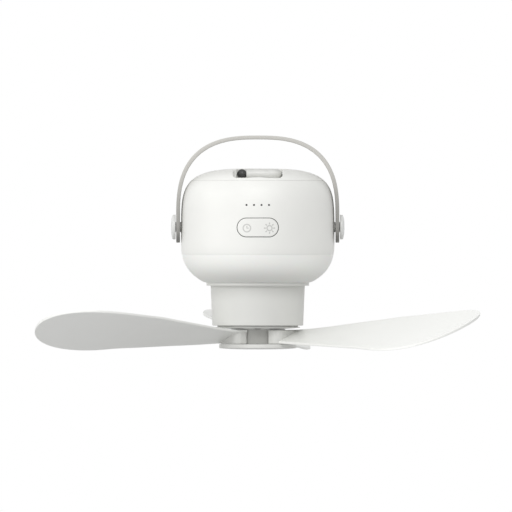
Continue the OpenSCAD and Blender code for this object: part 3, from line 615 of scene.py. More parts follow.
def side_disc(name, profile, side, body, segments=72):
    """Spins a profile of (radius, distance along x) points round the handle's pivot axis."""
    def put(r, x, a):
        return (side * x, r * math.cos(a), PIVOT_Z + r * math.sin(a))

    return spun(name, profile, put, body, segments, False)


boss_profile = [(BOSS_BORE, BOSS_IN), (BOSS_R, BOSS_IN), (BOSS_R, BOSS_OUT - BOSS_EDGE),
                *arc(BOSS_R - BOSS_EDGE, BOSS_OUT - BOSS_EDGE, BOSS_EDGE, 0, 90, 3),
                (BOSS_BORE, BOSS_OUT)]
for side, word in ((-1, "left"), (1, "right")):
    boss = side_disc(f"pivot_boss_{word}", boss_profile, side, "casing")
    finish(boss, "shell_white")
print("boss faces:", len(boss.data.polygons))

# %% [markdown]
# ## The top cover
# The dome has a long recess that the hook folds into, open upwards so that a fingertip can get
# under the hook. A Boolean cuts the hole, and a separate tray fills it: its rim starts on the
# dome's own curve, rolls over a small fillet and runs down to a floor with rounded corners. That
# gives the soft moulded lip that a plain cut can't.

# %% Top cover
POCKET_W, POCKET_FRONT, POCKET_BACK, POCKET_FLOOR = 19.8, -49.5, 5.6, 85.2
POCKET_CORNER, POCKET_BACK_CORNER, POCKET_STEP, POCKET_LEFT = 8.0, 1.5, -22.0, -17.0
LIP, RIM_FILLET, FLOOR_FILLET = 2.0, 0.9, 1.2


def pocket_outline(grow):
    """The recess seen from above, grown outwards by this much, as (x, y) points."""
    front, back = POCKET_CORNER + grow, POCKET_BACK_CORNER + grow
    front_x, front_y0 = POCKET_W - POCKET_CORNER, POCKET_FRONT + POCKET_CORNER
    back_y0 = POCKET_BACK - POCKET_BACK_CORNER
    # beside the hook's tip the left wall steps in: an arc runs out where it meets the narrower part
    step_in = 180 - math.degrees(math.acos((-front_x - POCKET_LEFT + grow) / front))
    corners = [(front_x, front_y0, front, -90, 0), (POCKET_W - POCKET_BACK_CORNER, back_y0, back, 0, 90),
               (POCKET_LEFT + POCKET_BACK_CORNER, back_y0, back, 90, 180),
               (-front_x, POCKET_STEP - POCKET_CORNER, front, step_in, 180),
               (-front_x, front_y0, front, 180, 270)]
    turns = [arc(cx, cy, r, start, stop, 10) for cx, cy, r, start, stop in corners]
    points = []
    for turn, following in zip(turns, turns[1:] + turns[:1]):
        (ax, ay), (bx, by) = turn[-1], following[0]
        between = [(ax + (bx - ax) * i / 12, ay + (by - ay) * i / 12) for i in range(1, 12)]
        points += turn + between
    return points


DOME_STEPS = 800


def dome_profile(z0, inset, count):
    """From the seam to the axis along the dome."""
    rim = radius_at(z0, inset)
    radii = [rim * (1 - i / DOME_STEPS) for i in range(DOME_STEPS + 1)]
    return evenly([(r, height_at(r, inset)) for r in radii], count)


def skin_faces(rings):
    """Faces that join closed rings of points into one closed skin, with flat ends."""
    n, count, faces = len(rings[0]), len(rings), []
    for k in range(count - 1):
        faces += [(k * n + i, k * n + (i + 1) % n, (k + 1) * n + (i + 1) % n, (k + 1) * n + i)
                  for i in range(n)]
    return faces + [tuple(range(n - 1, -1, -1)), tuple(range((count - 1) * n, count * n))]


def stack(name, rings, body, angle):
    """A closed skin through rings of points."""
    return new_piece(name, [p for ring in rings for p in ring], skin_faces(rings), body, angle)


cover_low = COVER_SEAM + SEAM / 2
outer = dome_profile(cover_low + EDGE, 0, 90)
inner = dome_profile(cover_low, WALL, 40)
cover = turned("cover_skin", arc(outer[0][0] - EDGE, cover_low + EDGE, EDGE, -90, 0, 4)[:-1] + outer
               + inner[::-1], "casing", segments=SHELL_SEGMENTS)
carve(cover, [prism_z(pocket_outline(LIP), (70, 120))])
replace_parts(finish(cover, "shell_white"), "top_cover")
print("cover faces:", len(cover.data.polygons))

# %% [markdown]
# The tray is a stack of the recess's own outline. Each ring is grown or shrunk a little and laid
# at its own height: first on the dome's curve, then down the wall, then in over the floor's
# fillet. The cover's skirt is a plain ring that reaches down behind the upper seam.

# %% Recess tray
TRAY_T, RIM_DROP = 1.0, -3.0
RIM_GROWTHS = (LIP, 1.6, 1.25)
quarter = [math.radians(15 * i) for i in range(7)]
tray_steps = [(LIP, RIM_DROP)] + [(grow, 0.0) for grow in RIM_GROWTHS]
tray_steps += [(RIM_FILLET * (1 - math.sin(a)), -RIM_FILLET * (1 - math.cos(a))) for a in quarter]
tray_rings = [[(x, y, POCKET_FLOOR - TRAY_T) for x, y in pocket_outline(LIP)]]
for grow, drop in tray_steps:
    tray_rings.append([(x, y, height_at(math.hypot(x, y)) + drop) for x, y in pocket_outline(grow)])
for a in quarter:
    tray_rings.append([(x, y, POCKET_FLOOR + FLOOR_FILLET * (1 - math.sin(a)))
                       for x, y in pocket_outline(-FLOOR_FILLET * (1 - math.cos(a)))])
tray = stack("recess_tray", tray_rings, "casing", 50)
finish(tray, "shell_white")


def hoop(name, r0, r1, z0, z1):
    """A plain ring of rectangular section behind a seam, by its two radii and two heights."""
    return turned(name, [(r0, z0), (r1, z0), (r1, z1), (r0, z1)], "casing")


finish(hoop("cover_skirt", 47.6, 49.2, 81.7, 85.3), "shell_white")
print("tray faces:", len(tray.data.polygons))

# %% [markdown]
# ## The lamp bowl, the motor housing and the plates
# These are turned shapes too. The base plate hangs under the housing with a narrow shadow gap, and
# its three screws sit in round counterbores. The disc that closes the hub from below is slightly
# domed.

# %% Lamp bowl and housing
FLANGE_R, HOUSING_TOP_R, HOUSING_LOW_R, HOUSING_H, SPIGOT_R = 41.2, 37.8, 36.5, 32.0, 37.6
bowl_top = LAMP_SEAM - SEAM / 2
bowl_outer = evenly(wall_curve(3.3, bowl_top - EDGE), 60)
bowl_inner = evenly(wall_curve(4.35, bowl_top, WALL), 24)
bowl = turned("lamp_bowl", [(37.9, 2.0), (41.2, 2.0), (41.2, 2.3), (41.35, 2.5), (41.7, 2.62),
                            (42.2, 2.72), (42.8, 2.86), (43.4, 3.07)] + bowl_outer
              + arc(bowl_outer[-1][0] - EDGE, bowl_top - EDGE, EDGE, 0, 90, 4)[1:]
              + bowl_inner[::-1] + [(37.9, 4.35)], "casing", segments=SHELL_SEGMENTS)
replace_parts(finish(bowl, "lamp_opal"), "light_diffuser")
finish(hoop("lamp_rim", 56.8, 58.4, 23.4, 27.6), "lamp_opal")

housing = turned("housing_skin", [
    (7, -2), (HOUSING_TOP_R - 2.07, -2), (HOUSING_LOW_R - 2.1, -HOUSING_H + 0.3),
    (HOUSING_LOW_R - 1.8, -HOUSING_H), *arc(HOUSING_LOW_R - 0.7, -HOUSING_H + 0.7, 0.7, -90, 0, 6),
    (HOUSING_TOP_R - 0.05, -1), *arc(HOUSING_TOP_R + 0.46, -0.5, 0.5, 180, 90, 4),
    *arc(FLANGE_R - 0.35, 0.35, 0.35, -90, 0, 5), *arc(FLANGE_R - 0.12, 1.83, 0.12, 0, 90, 3),
    (SPIGOT_R, 1.95), (SPIGOT_R, 25.45), (29.5, 25.45), (29.5, 22.4),
    (35.3, 22.4), (35.3, 1), (7, 1)], "casing", segments=256)
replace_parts(finish(housing, "housing_white"), "motor_housing")
print("bowl faces:", len(bowl.data.polygons), "housing faces:", len(housing.data.polygons))

# %% [markdown]
# The base plate and the hub's disc are small and seen edge on, so their rims decide how they look.
# Both get a round edge from an arc. A Boolean sinks the three screw seats.

# %% Base plate and hub disc
SEAT_R, SEAT_CIRCLE, SEAT_ENDS = 2.9, 29, (-40, -32.6)
plate = turned("base_plate_skin", [
    (7, -31.9), (31.7, -31.9), (31.7, -29.9), (33.8, -29.9), (33.8, -31.8), (33.6, -32.0),
    (32.3, -32.0), (32.3, -33.1), *arc(33.6, -33.45, 0.35, 80, -60, 7), (31.5, -33.9), (30, -34.03),
    (27, -34.24), (24, -34.4), (21, -34.52), (18, -34.6), (7, -34.6)], "casing", segments=256)
counterbores = []
for turn in (30, 150, 270):
    a = math.radians(turn)
    counterbores.append(prism_z(arc(SEAT_CIRCLE * math.cos(a), SEAT_CIRCLE * math.sin(a), SEAT_R,
                                    0, 345, 23), SEAT_ENDS))
carve(plate, counterbores)
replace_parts(finish(plate, "housing_white"), "base_plate")

CAP_R = 31.0
disc = turned("hub_cap_skin", [
    (3.6, -49.0), (3.6, -51.0), (3.8, -51.1), (9, -51.1), (15, -51.02), (20, -50.9), (24, -50.72),
    (28, -50.42), (30, -50.22), *arc(CAP_R - 0.45, -49.72, 0.45, -80, 0, 5),
    *arc(CAP_R - 0.4, -47.35, 0.4, 0, 90, 5), (1.6, -46.95), (1.6, -49.0)], "rotor", segments=256)
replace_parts(finish(disc, "disc_white"), "hub_cap")
print("plate faces:", len(plate.data.polygons), "disc faces:", len(disc.data.polygons))

# %% [markdown]
# ## The rocker key
# The key fills its capsule opening and follows the round of the body. Rings of points, each a
# smaller capsule than the last, are dropped onto the body's curve, so the face is part of the same
# surface, and its rim rolls over a fine round edge. Inside the last ring, columns of points join
# each lower point to the one above it.

# %% Rocker key
KEY_WALL, KEY_EDGE, KEY_FOOT_IN = 2.4, 0.55, 1.2
KEY_ARC, KEY_SPAN = 40, 24                    # steps round an end and along a side
KEY_ROWS, EDGE_RINGS = 12, 8                  # steps up the face, and rings over its round edge


def front_y(x, z):
    """Where the front of the body is, at this x and height."""
    return -math.sqrt(radius_at(z) ** 2 - x * x)


def key_ring(shrink, sink):
    """One capsule of points on the body's curve, from the right end's foot round to the left."""
    half, r = (KEY_W - KEY_H) / 2, KEY_H / 2 - shrink
    ends = arc(half, 0, r, -90, 90, KEY_ARC)
    upper = [(half - 2 * half * i / KEY_SPAN, r) for i in range(1, KEY_SPAN)]
    outline = ends + upper + [(-x, -z) for x, z in ends + upper]
    return [(x, front_y(x, KEY_Z + z) + sink, KEY_Z + z) for x, z in outline]


rings = [key_ring(KEY_FOOT_IN, KEY_WALL), key_ring(0.0, KEY_WALL)]
for i in range(EDGE_RINGS):
    a = math.radians(90 * i / (EDGE_RINGS - 1))
    rings.append(key_ring(KEY_EDGE * (1 - math.cos(a)), KEY_EDGE * (1 - math.sin(a))))
points = [p for ring in rings for p in ring]
faces = skin_faces(rings)[:-1]

n = len(rings[-1])
first = n * (len(rings) - 1)
lower_left = [first + n // 2 + KEY_ARC // 2 + k for k in range(KEY_ARC // 2 + 1)]
lower_side = [first + n - KEY_SPAN + 1 + k for k in range(KEY_SPAN - 1)]
lower_right = [first + k for k in range(KEY_ARC // 2 + 1)]
columns = []
for low in lower_left + lower_side + lower_right:
    x, _, z_low = points[low]
    z_high = 2 * KEY_Z - z_low
    mirror = min(range(first, first + n),
                 key=lambda q: abs(points[q][0] - x) + abs(points[q][2] - z_high))
    column = [low]
    if mirror != low:
        for i in range(1, KEY_ROWS):
            z = z_low + (2 * KEY_Z - 2 * z_low) * i / KEY_ROWS
            column.append(len(points))
            points.append((x, front_y(x, z), z))
        column.append(mirror)
    columns.append(column)
for one, two in zip(columns, columns[1:]):
    if len(one) == 1:
        faces += [(one[0], two[i], two[i + 1]) for i in range(KEY_ROWS)]
    elif len(two) == 1:
        faces += [(one[i], two[0], one[i + 1]) for i in range(KEY_ROWS)]
    else:
        faces += [(one[i], two[i], two[i + 1], one[i + 1]) for i in range(KEY_ROWS)]
key = new_piece("key_skin", points, faces, "key", 50)
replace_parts(finish(key, "key_white"), "rocker_key")
print("key faces:", len(key.data.polygons))

# %% [markdown]
# The two signs stand a hair above the key's face, as thick printing ink does. Each line of a sign
# is a thin ribbon with real thickness that follows the face. An image would be quicker, but a mesh
# keeps its edge at any distance.

# %% Printed signs
TIMER_X, LAMP_X, SIGN_Z, LINE_W = -8.7, 9.4, 46.1, 1.0
INK_ABOVE, INK_BELOW = 0.035, 0.08


def ribbon(name, lines):
    """Printed lines on the key: each is a list of (x, z) points, closed if it ends where it starts."""
    points, faces = [], []
    for line in lines:
        closed = math.dist(line[0], line[-1]) < 1e-6
        line = line[:-1] if closed else line
        n, first = len(line), len(points)
        for k, (x, z) in enumerate(line):
            ahead = line[(k + 1) % n] if closed or k < n - 1 else line[k]
            behind = line[k - 1] if closed or k > 0 else line[k]
            dx, dz = ahead[0] - behind[0], ahead[1] - behind[1]
            size = math.hypot(dx, dz)
            nx, nz = -dz / size * LINE_W / 2, dx / size * LINE_W / 2
            for side, rise in ((1, INK_BELOW), (1, -INK_ABOVE), (-1, -INK_ABOVE), (-1, INK_BELOW)):
                px, pz = x + side * nx, z + side * nz
                points.append((px, front_y(px, pz) + rise, pz))
        for k in range(n if closed else n - 1):
            a, b = first + 4 * k, first + 4 * ((k + 1) % n)
            faces += [(a + i, a + (i + 1) % 4, b + (i + 1) % 4, b + i) for i in range(4)]
        if not closed:
            faces += [tuple(first + i for i in range(4)),
                      tuple(first + 4 * (n - 1) + i for i in (3, 2, 1, 0))]
    finish(new_piece(name, points, faces, "key", 30), "icon_grey")


CLOCK_R, HAND_UP, HAND_ASIDE = 3.0, 1.8, 1.4
timer = [[(TIMER_X + x, SIGN_Z + z) for x, z in arc(0, 0, CLOCK_R, 0, 360, 40)],
         [(TIMER_X, SIGN_Z + HAND_UP), (TIMER_X, SIGN_Z), (TIMER_X + HAND_ASIDE, SIGN_Z)]]
ribbon("timer_sign", timer)
SUN_R, RAY_FROM, RAY_TO, RAYS = 2.0, 2.9, 4.5, 8
lamp = [[(LAMP_X + x, SIGN_Z + z) for x, z in arc(0, 0, SUN_R, 0, 360, 36)]]
for i in range(RAYS):
    c, s = math.cos(math.radians(360 / RAYS * i)), math.sin(math.radians(360 / RAYS * i))
    lamp.append([(LAMP_X + RAY_FROM * c, SIGN_Z + RAY_FROM * s),
                 (LAMP_X + RAY_TO * c, SIGN_Z + RAY_TO * s)])
ribbon("lamp_sign", lamp)
print("printed lines:", len(timer) + len(lamp))

# %% [markdown]
# ## Pivot caps
# Two domed caps close the handle's screws. They are turned round the pivot's own axis.

# %% Pivot caps
CAP_X = 66.0
cap_profile = [(4.8, 0), (9.6, 0), *arc(9.6, 0.3, 0.3, -90, 0, 3), *arc(8.9, 1.6, 1.0, 0, 65, 7),
               (8.6, 2.7), (7.4, 3.02), (6, 3.27), (4.2, 3.46), (2.2, 3.57), (0, 3.6)]
for side, word in ((-1, "left"), (1, "right")):
    cap = side_disc(f"pivot_cap_{word}", [(r, CAP_X + x) for r, x in cap_profile], side, "casing", 96)
    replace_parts(finish(cap, "cap_white"), "pivot_caps")
print("cap faces:", len(cap.data.polygons))

# %% [markdown]
# ## The blades
# Each blade is lofted: at every station along its length two edge curves and a middle height give
# the chord, and the thickness falls off near the edges, which rounds them. Hermite curves join the
# stations, and the tip closes along a squared ellipse, so the outline has no kink.

# %% Blade curves
# each station: distance from the axis, the two edges along the chord, and the middle's height
STATIONS = ((18.3, -13.5, 15, -41.1), (30, -13.6, 15.8, -41.2), (48, -17.1, 20.7, -41.1),
            (70, -22.4, 27.4, -40.3), (92, -28.1, 34, -39.5), (118, -35.6, 40.9, -38.4))
END_RATES = (0, -0.306, 0.198, 0)
SWEEP_R, BLADE_T, TIP_RISE, RISE_CURVE = 198.7, 2.0, 10.5, 1.77
SKIN_IN = 0.18                                # keeps the skin inside the solid blade's box
TIP_START, TIP_N, SLOPE = 125.5, 1.97, 0.33
EDGE_ROUND, EDGE_SHARE = 0.8, 0.7
BLADE_ANGLES = (90, 210, 330)


def along_blade(s, column):
    """A column of the stations, joined by a smooth curve, at distance s from the axis."""
    last = len(STATIONS) - 1
    t0 = min(s, STATIONS[last][0])
    i = max(k for k in range(last) if t0 >= STATIONS[k][0] or k == 0)

    def rate(k):
        if k in (0, last):
            return END_RATES[column] if k else 0
        before, after = STATIONS[k - 1], STATIONS[k + 1]
        return (after[column] - before[column]) / (after[0] - before[0])

    d = STATIONS[i + 1][0] - STATIONS[i][0]
    t = (t0 - STATIONS[i][0]) / d
    value = ((2 * t ** 3 - 3 * t * t + 1) * STATIONS[i][column] + (t ** 3 - 2 * t * t + t) * d * rate(i)
             + (3 * t * t - 2 * t ** 3) * STATIONS[i + 1][column] + (t ** 3 - t * t) * d * rate(i + 1))
    return value + max(s - STATIONS[last][0], 0) * END_RATES[column]


def tip_share(s):
    """How much of the chord is left on the way to the tip."""
    share = max((s - TIP_START) / (SWEEP_R - TIP_START), 0)
    return (1 - share ** TIP_N) ** (1 / TIP_N)


def blade_middle(s):
    """Height of the blade's middle, which rises towards the tip."""
    start = STATIONS[-1][0]
    return along_blade(s, 3) + TIP_RISE * (max(s - start, 0) / (SWEEP_R - start)) ** RISE_CURVE


ACROSS_STEPS = 44
across = [0.5 - 0.5 * math.cos(math.pi * i / ACROSS_STEPS) for i in range(ACROSS_STEPS + 1)]


def blade_ring(s):
    """One closed section of the blade, upper side and then lower side."""
    low = (along_blade(s, 1) + SKIN_IN) * tip_share(s)
    high = (along_blade(s, 2) - SKIN_IN) * tip_share(s)
    upper, lower = [], []
    for w in across:
        u = low + (high - low) * w
        x = min(max(min(u - low, high - u) / EDGE_ROUND, 0), 1)
        half = BLADE_T / 2 * (EDGE_SHARE + (1 - EDGE_SHARE) * math.sqrt(1 - (1 - x) ** 2))
        z = blade_middle(s) + SLOPE * u
        upper.append((s, u, z + half))
        lower.append((s, u, z - half))
    return upper + lower[::-1]


# %% [markdown]
# The root of each blade is a thick block with a tenon that enters the hub. Both are boxes whose
# edges are rounded by drawing the outline in along a quarter circle at the top and the bottom. The
# root is a mesh of its own, so that its white can be painted a little darker, as shade.

# %% Root blocks and the three blades
INNER_R = STATIONS[0][0]
INNER_CORNER, BOX_STEPS = 1.0, 4
ROOT = dict(x0=INNER_R, x1=28.5, y0=-15.4, y1=14.6, z0=-46.7, z1=-35.5, r=0.8, corner=6.0)
TENON = dict(x0=9.5, x1=21.5, y0=-7.5, y1=7.5, z0=-43.4, z1=-38.0, r=0.3, corner=2.0)
BODY_STEPS, TIP_STEPS, TIP_GAP = 60, 44, 0.1


def rounded_box(x0, x1, y0, y1, z0, z1, r, corner):
    """Closed rings of a box with round edges above and below; its two outer corners are rounder."""
    rings = []
    for z_mid, start, stop in ((z0 + r, -90, 0), (z1 - r, 0, 90)):
        for i in range(BOX_STEPS + 1):
            a = math.radians(start + (stop - start) * i / BOX_STEPS)
            grow = r * math.cos(a) - r
            ring = []
            for cx, cy, turn, inset in ((x1 - corner, y1 - corner, 0, corner),
                                        (x0 + INNER_CORNER, y1 - INNER_CORNER, 90, INNER_CORNER),
                                        (x0 + INNER_CORNER, y0 + INNER_CORNER, 180, INNER_CORNER),
                                        (x1 - corner, y0 + corner, 270, corner)):
                ring += arc(cx, cy, inset + grow, turn, turn + 90, 10)
            rings.append([(x, y, z_mid + r * math.sin(a)) for x, y in ring])
    return rings


def turn_about_axis(rings, angle):
    """The same rings turned round the fan's axis."""
    c, s = math.cos(math.radians(angle)), math.sin(math.radians(angle))
    return [[(x * c - y * s, x * s + y * c, z) for x, y, z in ring] for ring in rings]


def join(piece, other):
    """Adds another piece's mesh to a piece."""
    work = bmesh.new()
    work.from_mesh(piece.data)
    work.from_mesh(other.data)
    bpy.data.objects.remove(other)
    work.to_mesh(piece.data)
    work.free()


places = [INNER_R + (TIP_START - INNER_R) * k / BODY_STEPS for k in range(BODY_STEPS)]
places += [TIP_START + (SWEEP_R - TIP_GAP - TIP_START) * math.sin(math.pi / 2 * k / TIP_STEPS)
           for k in range(TIP_STEPS + 1)]
for number, angle in enumerate(BLADE_ANGLES, 1):
    blade = stack(f"blade_skin_{number}", turn_about_axis([blade_ring(s) for s in places], angle),
                  "rotor", 40)
    root = stack(f"blade_root_{number}", turn_about_axis(rounded_box(**ROOT), angle), "rotor", 40)
    tenon = stack("tenon", turn_about_axis(rounded_box(**TENON), angle), "rotor", 40)
    join(root, tenon)
    # the root's darker white is painted shade
    finish(root, "root_white_painted_shade")
    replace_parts(finish(blade, "blade_white"), f"blade_{number}")
print("blade faces:", len(blade.data.polygons))

# %% [markdown]
# ## The strap handle
# The strap is a 25 mm band of leather over a spring core. Its path has straight legs and a squared
# arch, which is a superellipse: an ellipse with a higher power, so that it is fuller at the
# shoulders. The inner and the outer face each have their own, and the middle line lies between.

# %% Strap path
STRAP_IN, STRAP_T, STRAP_HALF_W = 62.4, 3.0, 12.5
ARCH_FOOT, ARCH_N = 56.0, 2.7
STRAP_STEPS = 260


def arch_point(a, half, height):
    """(x, height) on a squared arch, by an angle in degrees from its right foot."""
    c, s = math.cos(math.radians(a)), math.sin(math.radians(a))
    return (half * math.copysign(abs(c) ** (2 / ARCH_N), c),
            ARCH_FOOT + height * max(s, 0) ** (2 / ARCH_N))


def strap_path():
    """(middle x, middle z, half thickness along x, half thickness along z), from right foot to left."""
    top = DROP - ARCH_FOOT
    raw = [(STRAP_IN + STRAP_T / 2, PIVOT_Z, STRAP_T / 2, 0.0)]
    for i in range(1801):
        (ax, az), (bx, bz) = (arch_point(i / 10, STRAP_IN, top),
                              arch_point(i / 10, STRAP_IN + STRAP_T, top + STRAP_T))
        raw.append(((ax + bx) / 2, (az + bz) / 2, (bx - ax) / 2, (bz - az) / 2))
    raw.append((-STRAP_IN - STRAP_T / 2, PIVOT_Z, -STRAP_T / 2, 0.0))
    return raw


path = evenly(strap_path(), STRAP_STEPS + 1)
print("strap length over the arch, mm:",
      round(sum(math.dist(a[:2], b[:2]) for a, b in zip(path, path[1:])), 1))

# %% [markdown]
# The strap is lofted along that path, like the blades, and its round ends lie under the pivot
# caps. The thickness depends only on the distance from the outline: it falls off at the edge, and
# dips in a shallow channel for the stitches. The same distance marks where the edge paint goes.

# %% Strap skin
CHANNEL, CHANNEL_W, CHANNEL_DEPTH = 2.6, 0.6, 0.24
STRAP_EDGE, STRAP_EDGE_SHARE, PAINT_W = 0.8, 0.72, 0.7
END_STEPS = 26


def strap_thickness(d):
    """Share of the full half thickness, by distance from the strap's outline."""
    x = min(max(d / STRAP_EDGE, 0), 1)
    rounded = STRAP_EDGE_SHARE + (1 - STRAP_EDGE_SHARE) * math.sqrt(1 - (1 - x) ** 2)
    channel = max(0.0, 1 - ((d - CHANNEL) / CHANNEL_W) ** 2)
    return rounded - channel * CHANNEL_DEPTH / (STRAP_T / 2)


def strap_across(half):
    """Places across the strap: close together at the edges and in the two channels."""
    full = [0, 0.12, 0.3, 0.6, 1.1, 1.6, CHANNEL - 0.6, CHANNEL - 0.3, CHANNEL, CHANNEL + 0.3,
            CHANNEL + 0.6, 4.2, 6.0, 8.0, 10.2, STRAP_HALF_W]
    side = [half * (1 - d / STRAP_HALF_W) for d in full]
    return [-v for v in side] + side[-2::-1]


strap_rings, edge_marks = [], []
turns = [math.pi / 2 * k / END_STEPS for k in range(END_STEPS + 1)]
stops = [(path[0], STRAP_HALF_W * math.cos(a)) for a in turns[:-1]]
stops += [(p, 0.0) for p in path]
stops += [(path[-1], STRAP_HALF_W * math.sin(a)) for a in turns[1:]]
for (mx, mz, tx, tz), below in stops:
    half = math.sqrt(max(STRAP_HALF_W ** 2 - below ** 2, 0.01))
    upper, lower, marks = [], [], []
    for u in strap_across(half):
        d = STRAP_HALF_W - math.hypot(u, below)
        share = strap_thickness(d)
        upper.append((mx + tx * share, u, mz - below + tz * share))
        lower.append((mx - tx * share, u, mz - below - tz * share))
        marks.append(1.0 if d < PAINT_W else 0.0)
    strap_rings.append(upper + lower[::-1])
    edge_marks += marks + marks[::-1]
strap = stack("strap_skin", strap_rings, "handle", 60)
marks = strap.data.attributes.new("edge_paint", "FLOAT", "POINT")
marks.data.foreach_set("value", edge_marks)
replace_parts(finish(strap, "strap_leather"), "handle_strap")
print("strap faces:", len(strap.data.polygons))

# %% [markdown]
# A stitch is a short thread that dips into the leather at both ends. One small shape, thick in the
# middle and pointed at its ends, is repeated along both channels, on the outside and the inside.

# %% Stitches
STITCH, STITCH_GAP, THREAD_R = 3.0, 1.1, 0.28
STITCH_SINK, STITCH_DIP = 0.29, 0.2           # depth of its middle line, and more at its ends
STITCH_STEPS, THREAD_SIDES = 6, 8


def seam_lines():
    """The seam in four lines of (point, outward direction): both edges, then round both ends."""
    radius = STRAP_HALF_W - CHANNEL
    lines = [[((mx, side * radius, mz), (tx, 0.0, tz)) for mx, mz, tx, tz in path] for side in (-1, 1)]
    for mx, mz, tx, _ in (path[0], path[-1]):
        lines.append([((mx, y, mz - down), (tx, 0.0, 0.0)) for y, down in arc(0, 0, radius, 0, 180, 60)])
    return lines


def stitch_rings(line, lengths, centre, face_side):
    """Rings of points of one stitch, centred at a length along a line, on one face of the strap."""
    rings = []
    for step in range(STITCH_STEPS + 1):
        share = step / STITCH_STEPS * 2 - 1
        want = min(max(centre + share * STITCH / 2, 0), lengths[-1])
        k = max(j for j in range(len(lengths) - 1) if lengths[j] <= want)
        f = (want - lengths[k]) / max(lengths[k + 1] - lengths[k], 1e-9)
        (p0, out0), (p1, out1) = ([Vector(v) for v in line[k]], [Vector(v) for v in line[k + 1]])
        out = out0.lerp(out1, f) * face_side
        up = out.normalized()
        aside = (p1 - p0).normalized().cross(up)
        r = THREAD_R * math.sqrt(max(1 - share ** 4, 0.02))
        middle = p0.lerp(p1, f) + up * (out.length - STITCH_SINK - STITCH_DIP * share * share)
        turns = [2 * math.pi * q / THREAD_SIDES for q in range(THREAD_SIDES)]
        rings.append([tuple(middle + up * (r * math.sin(t)) + aside * (r * math.cos(t))) for t in turns])
    return rings


points, faces, stitch_count = [], [], 0
for line in seam_lines():
    lengths = [0.0]
    for (a, _), (b, _) in zip(line, line[1:]):
        lengths.append(lengths[-1] + math.dist(a, b))
    count = round(lengths[-1] / (STITCH + STITCH_GAP))
    for i in range(count):
        for face_side in (1, -1):
            rings = stitch_rings(line, lengths, lengths[-1] * (i + 0.5) / count, face_side)
            faces += [tuple(len(points) + v for v in face) for face in skin_faces(rings)]
            points += [p for ring in rings for p in ring]
            stitch_count += 1
stitches = new_piece("strap_stitches", points, faces, "handle", 60)
finish(stitches, "thread")
print("stitches:", stitch_count)

# %% [markdown]
# ## The hook
# A bent bar: its barrel turns on the pin at the back of the recess, and its free end carries a
# black rubber tip. A tube is swept along the bar's middle line with round bends. A line of points
# that lie close together at each end, with smaller radii, rounds the bar's ends.

# %% Hook
ROD_R, REACH, HOOK_Z, STEM_X, TIP_X, BALL_R = 3.9, 20.0, 89.5, 15.6, -12.6, 3.9
BEND, TUBE_SIDES = 4.6, 40


def swept(name, line, radii, body):
    """A round tube along a line of level points, with a radius for each point."""
    rings, up = [], Vector((0, 0, 1))
    for k, (p, r) in enumerate(zip(line, radii)):
        ahead, behind = line[min(k + 1, len(line) - 1)], line[max(k - 1, 0)]
        run = (Vector(ahead) - Vector(behind)).normalized()
        aside = run.cross(up).normalized()
        turns = [2 * math.pi * q / TUBE_SIDES for q in range(TUBE_SIDES)]
        rings.append([tuple(Vector(p) + aside * (r * math.cos(t)) + up * (r * math.sin(t)))
                      for t in turns])
    return stack(name, rings, body, 50)


bar = [(x, 0) for x in (-16.6, -16.45, -16.3, -16.0, *range(-14, 10, 3))]
bar += arc(STEM_X - BEND, -BEND, BEND, 90, 0, 12) + [(STEM_X, -y) for y in (7, 10, 13)]
bar += arc(STEM_X - BEND, -REACH + BEND, BEND, 0, -90, 12)
bar += [(x, -REACH) for x in (*range(7, -8, -3), -8.6, -8.8, -8.9, -9.0)]
bar_radii = [ROD_R] * len(bar)
bar_radii[:3] = [ROD_R - 0.6, ROD_R - 0.25, ROD_R - 0.08]
bar_radii[-3:] = [ROD_R - 0.1, ROD_R - 0.3, ROD_R - 0.6]
hook = swept("hook_bar", [(x, y, HOOK_Z) for x, y in bar], bar_radii, "hook")
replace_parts(finish(hook, "hook_paint"), "hanging_hook")

ball_x = [BALL_R * math.cos(math.radians(a)) for a in range(180, 24, -6)]
ball_radii = [math.sqrt(max(BALL_R ** 2 - x * x, 0.0009)) for x in ball_x]
tip = swept("hook_ball", [(TIP_X + x, -REACH, HOOK_Z) for x in ball_x], ball_radii, "hook")
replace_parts(finish(tip, "tip_rubber"), "hook_tip")
print("hook faces:", len(hook.data.polygons), "tip faces:", len(tip.data.polygons))

# %% [markdown]
# ## Light and paper
# A pale world gives soft light from everywhere, and three soft boxes give it a direction: one at
# the left side, one high in front, and a weak one low at the left in front. The white behind the
# object is what the camera sees of the world, and what shiny or clear surfaces show of it. The
# dimmer ambient level lights everything else.

# %% World and lamps
AMBIENT, WHITE = 0.66, 1.0
AIM = (0, 0, -0.09)
bpy.context.scene.view_settings.view_transform = "Standard"
world = bpy.data.worlds.new("studio")
bpy.context.scene.world = world
world.use_nodes = True
sky = world.node_tree
sky.nodes.clear()


def ray(tree, name):
    return node(tree, "ShaderNodeLightPath", {}, out=name)


def seen_directly(tree):
    """1 for what the camera sees itself, through a clear surface or in a shiny one."""
    straight = ray(tree, "Is Camera Ray").math("MAXIMUM", ray(tree, "Is Transmission Ray"))
    return straight.math("MAXIMUM", ray(tree, "Is Glossy Ray"))


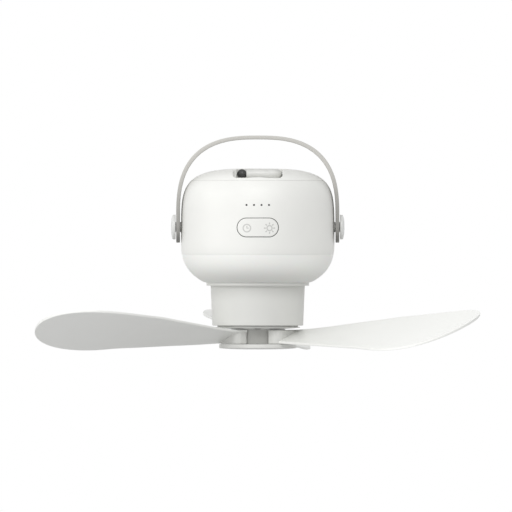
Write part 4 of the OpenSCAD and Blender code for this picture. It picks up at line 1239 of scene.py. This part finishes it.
ambient = node(sky, "ShaderNodeBackground", {}, (1, 1, 1, 1), AMBIENT)
paper = node(sky, "ShaderNodeBackground", {}, (1, 1, 1, 1), WHITE)
mixed = node(sky, "ShaderNodeMixShader", {}, seen_directly(sky), ambient, paper)
output = sky.nodes.new("ShaderNodeOutputWorld")
sky.links.new(mixed.socket, output.inputs[0])


def soft_box(name, where, size, watts):
    """A square lamp that points at the fan."""
    data = bpy.data.lights.new(name, "AREA")
    data.shape, data.size, data.energy = "SQUARE", size, watts
    box = bpy.data.objects.new(name, data)
    bpy.context.scene.collection.objects.link(box)
    box.location = where
    box.rotation_euler = (Vector(AIM) - Vector(where)).to_track_quat("-Z", "Y").to_euler()


soft_box("side_box", (-2.3, -1.2, 0.8), 1.4, 15)
soft_box("front_box", (0, -2.4, 1.7), 1.4, 24)
soft_box("low_box", (-1.4, -2.4, -0.3), 1.0, 9)
print("lamps:", len(bpy.data.lights))

# %% [markdown]
# The fan hangs in the air, so the floor lies well below it. It catches a soft shadow and sends
# light back up to the blades, as a studio table does. It is one-sided: seen from below its back is
# transparent, so it doesn't hide the fan. What lights the fan off it is a darker paper than what
# the camera sees, which keeps the undersides from getting too bright.

# %% Floor
FLOOR_Z, FLOOR_HALF = -0.55, 3.0
PAPER_SEEN, PAPER_LIT = (0.9,) * 3, (0.55,) * 3
corners = [(x * FLOOR_HALF, y * FLOOR_HALF, FLOOR_Z) for x, y in ((-1, -1), (1, -1), (1, 1), (-1, 1))]
floor_data = bpy.data.meshes.new("floor")
floor_data.from_pydata(corners, [], [(0, 1, 2, 3)])
floor = bpy.data.objects.new("floor", floor_data)
bpy.context.scene.collection.objects.link(floor)
floor_finish, floor_tree, floor_sockets = new_material("paper", PAPER_SEEN, 0.9)
feed(floor_tree, floor_sockets["Base Color"],
     colour(floor_tree, seen_directly(floor_tree), PAPER_LIT, PAPER_SEEN))
front = Wire(floor_tree, floor_tree.nodes["Principled BSDF"].outputs[0])
back = node(floor_tree, "ShaderNodeBsdfTransparent", {})
facing = node(floor_tree, "ShaderNodeNewGeometry", {}, out="Backfacing")
surface = node(floor_tree, "ShaderNodeMixShader", {}, facing, front, back)
feed(floor_tree, floor_tree.nodes["Material Output"].inputs["Surface"], surface)
floor_data.materials.append(floor_finish)
print("floor height, metres:", FLOOR_Z)
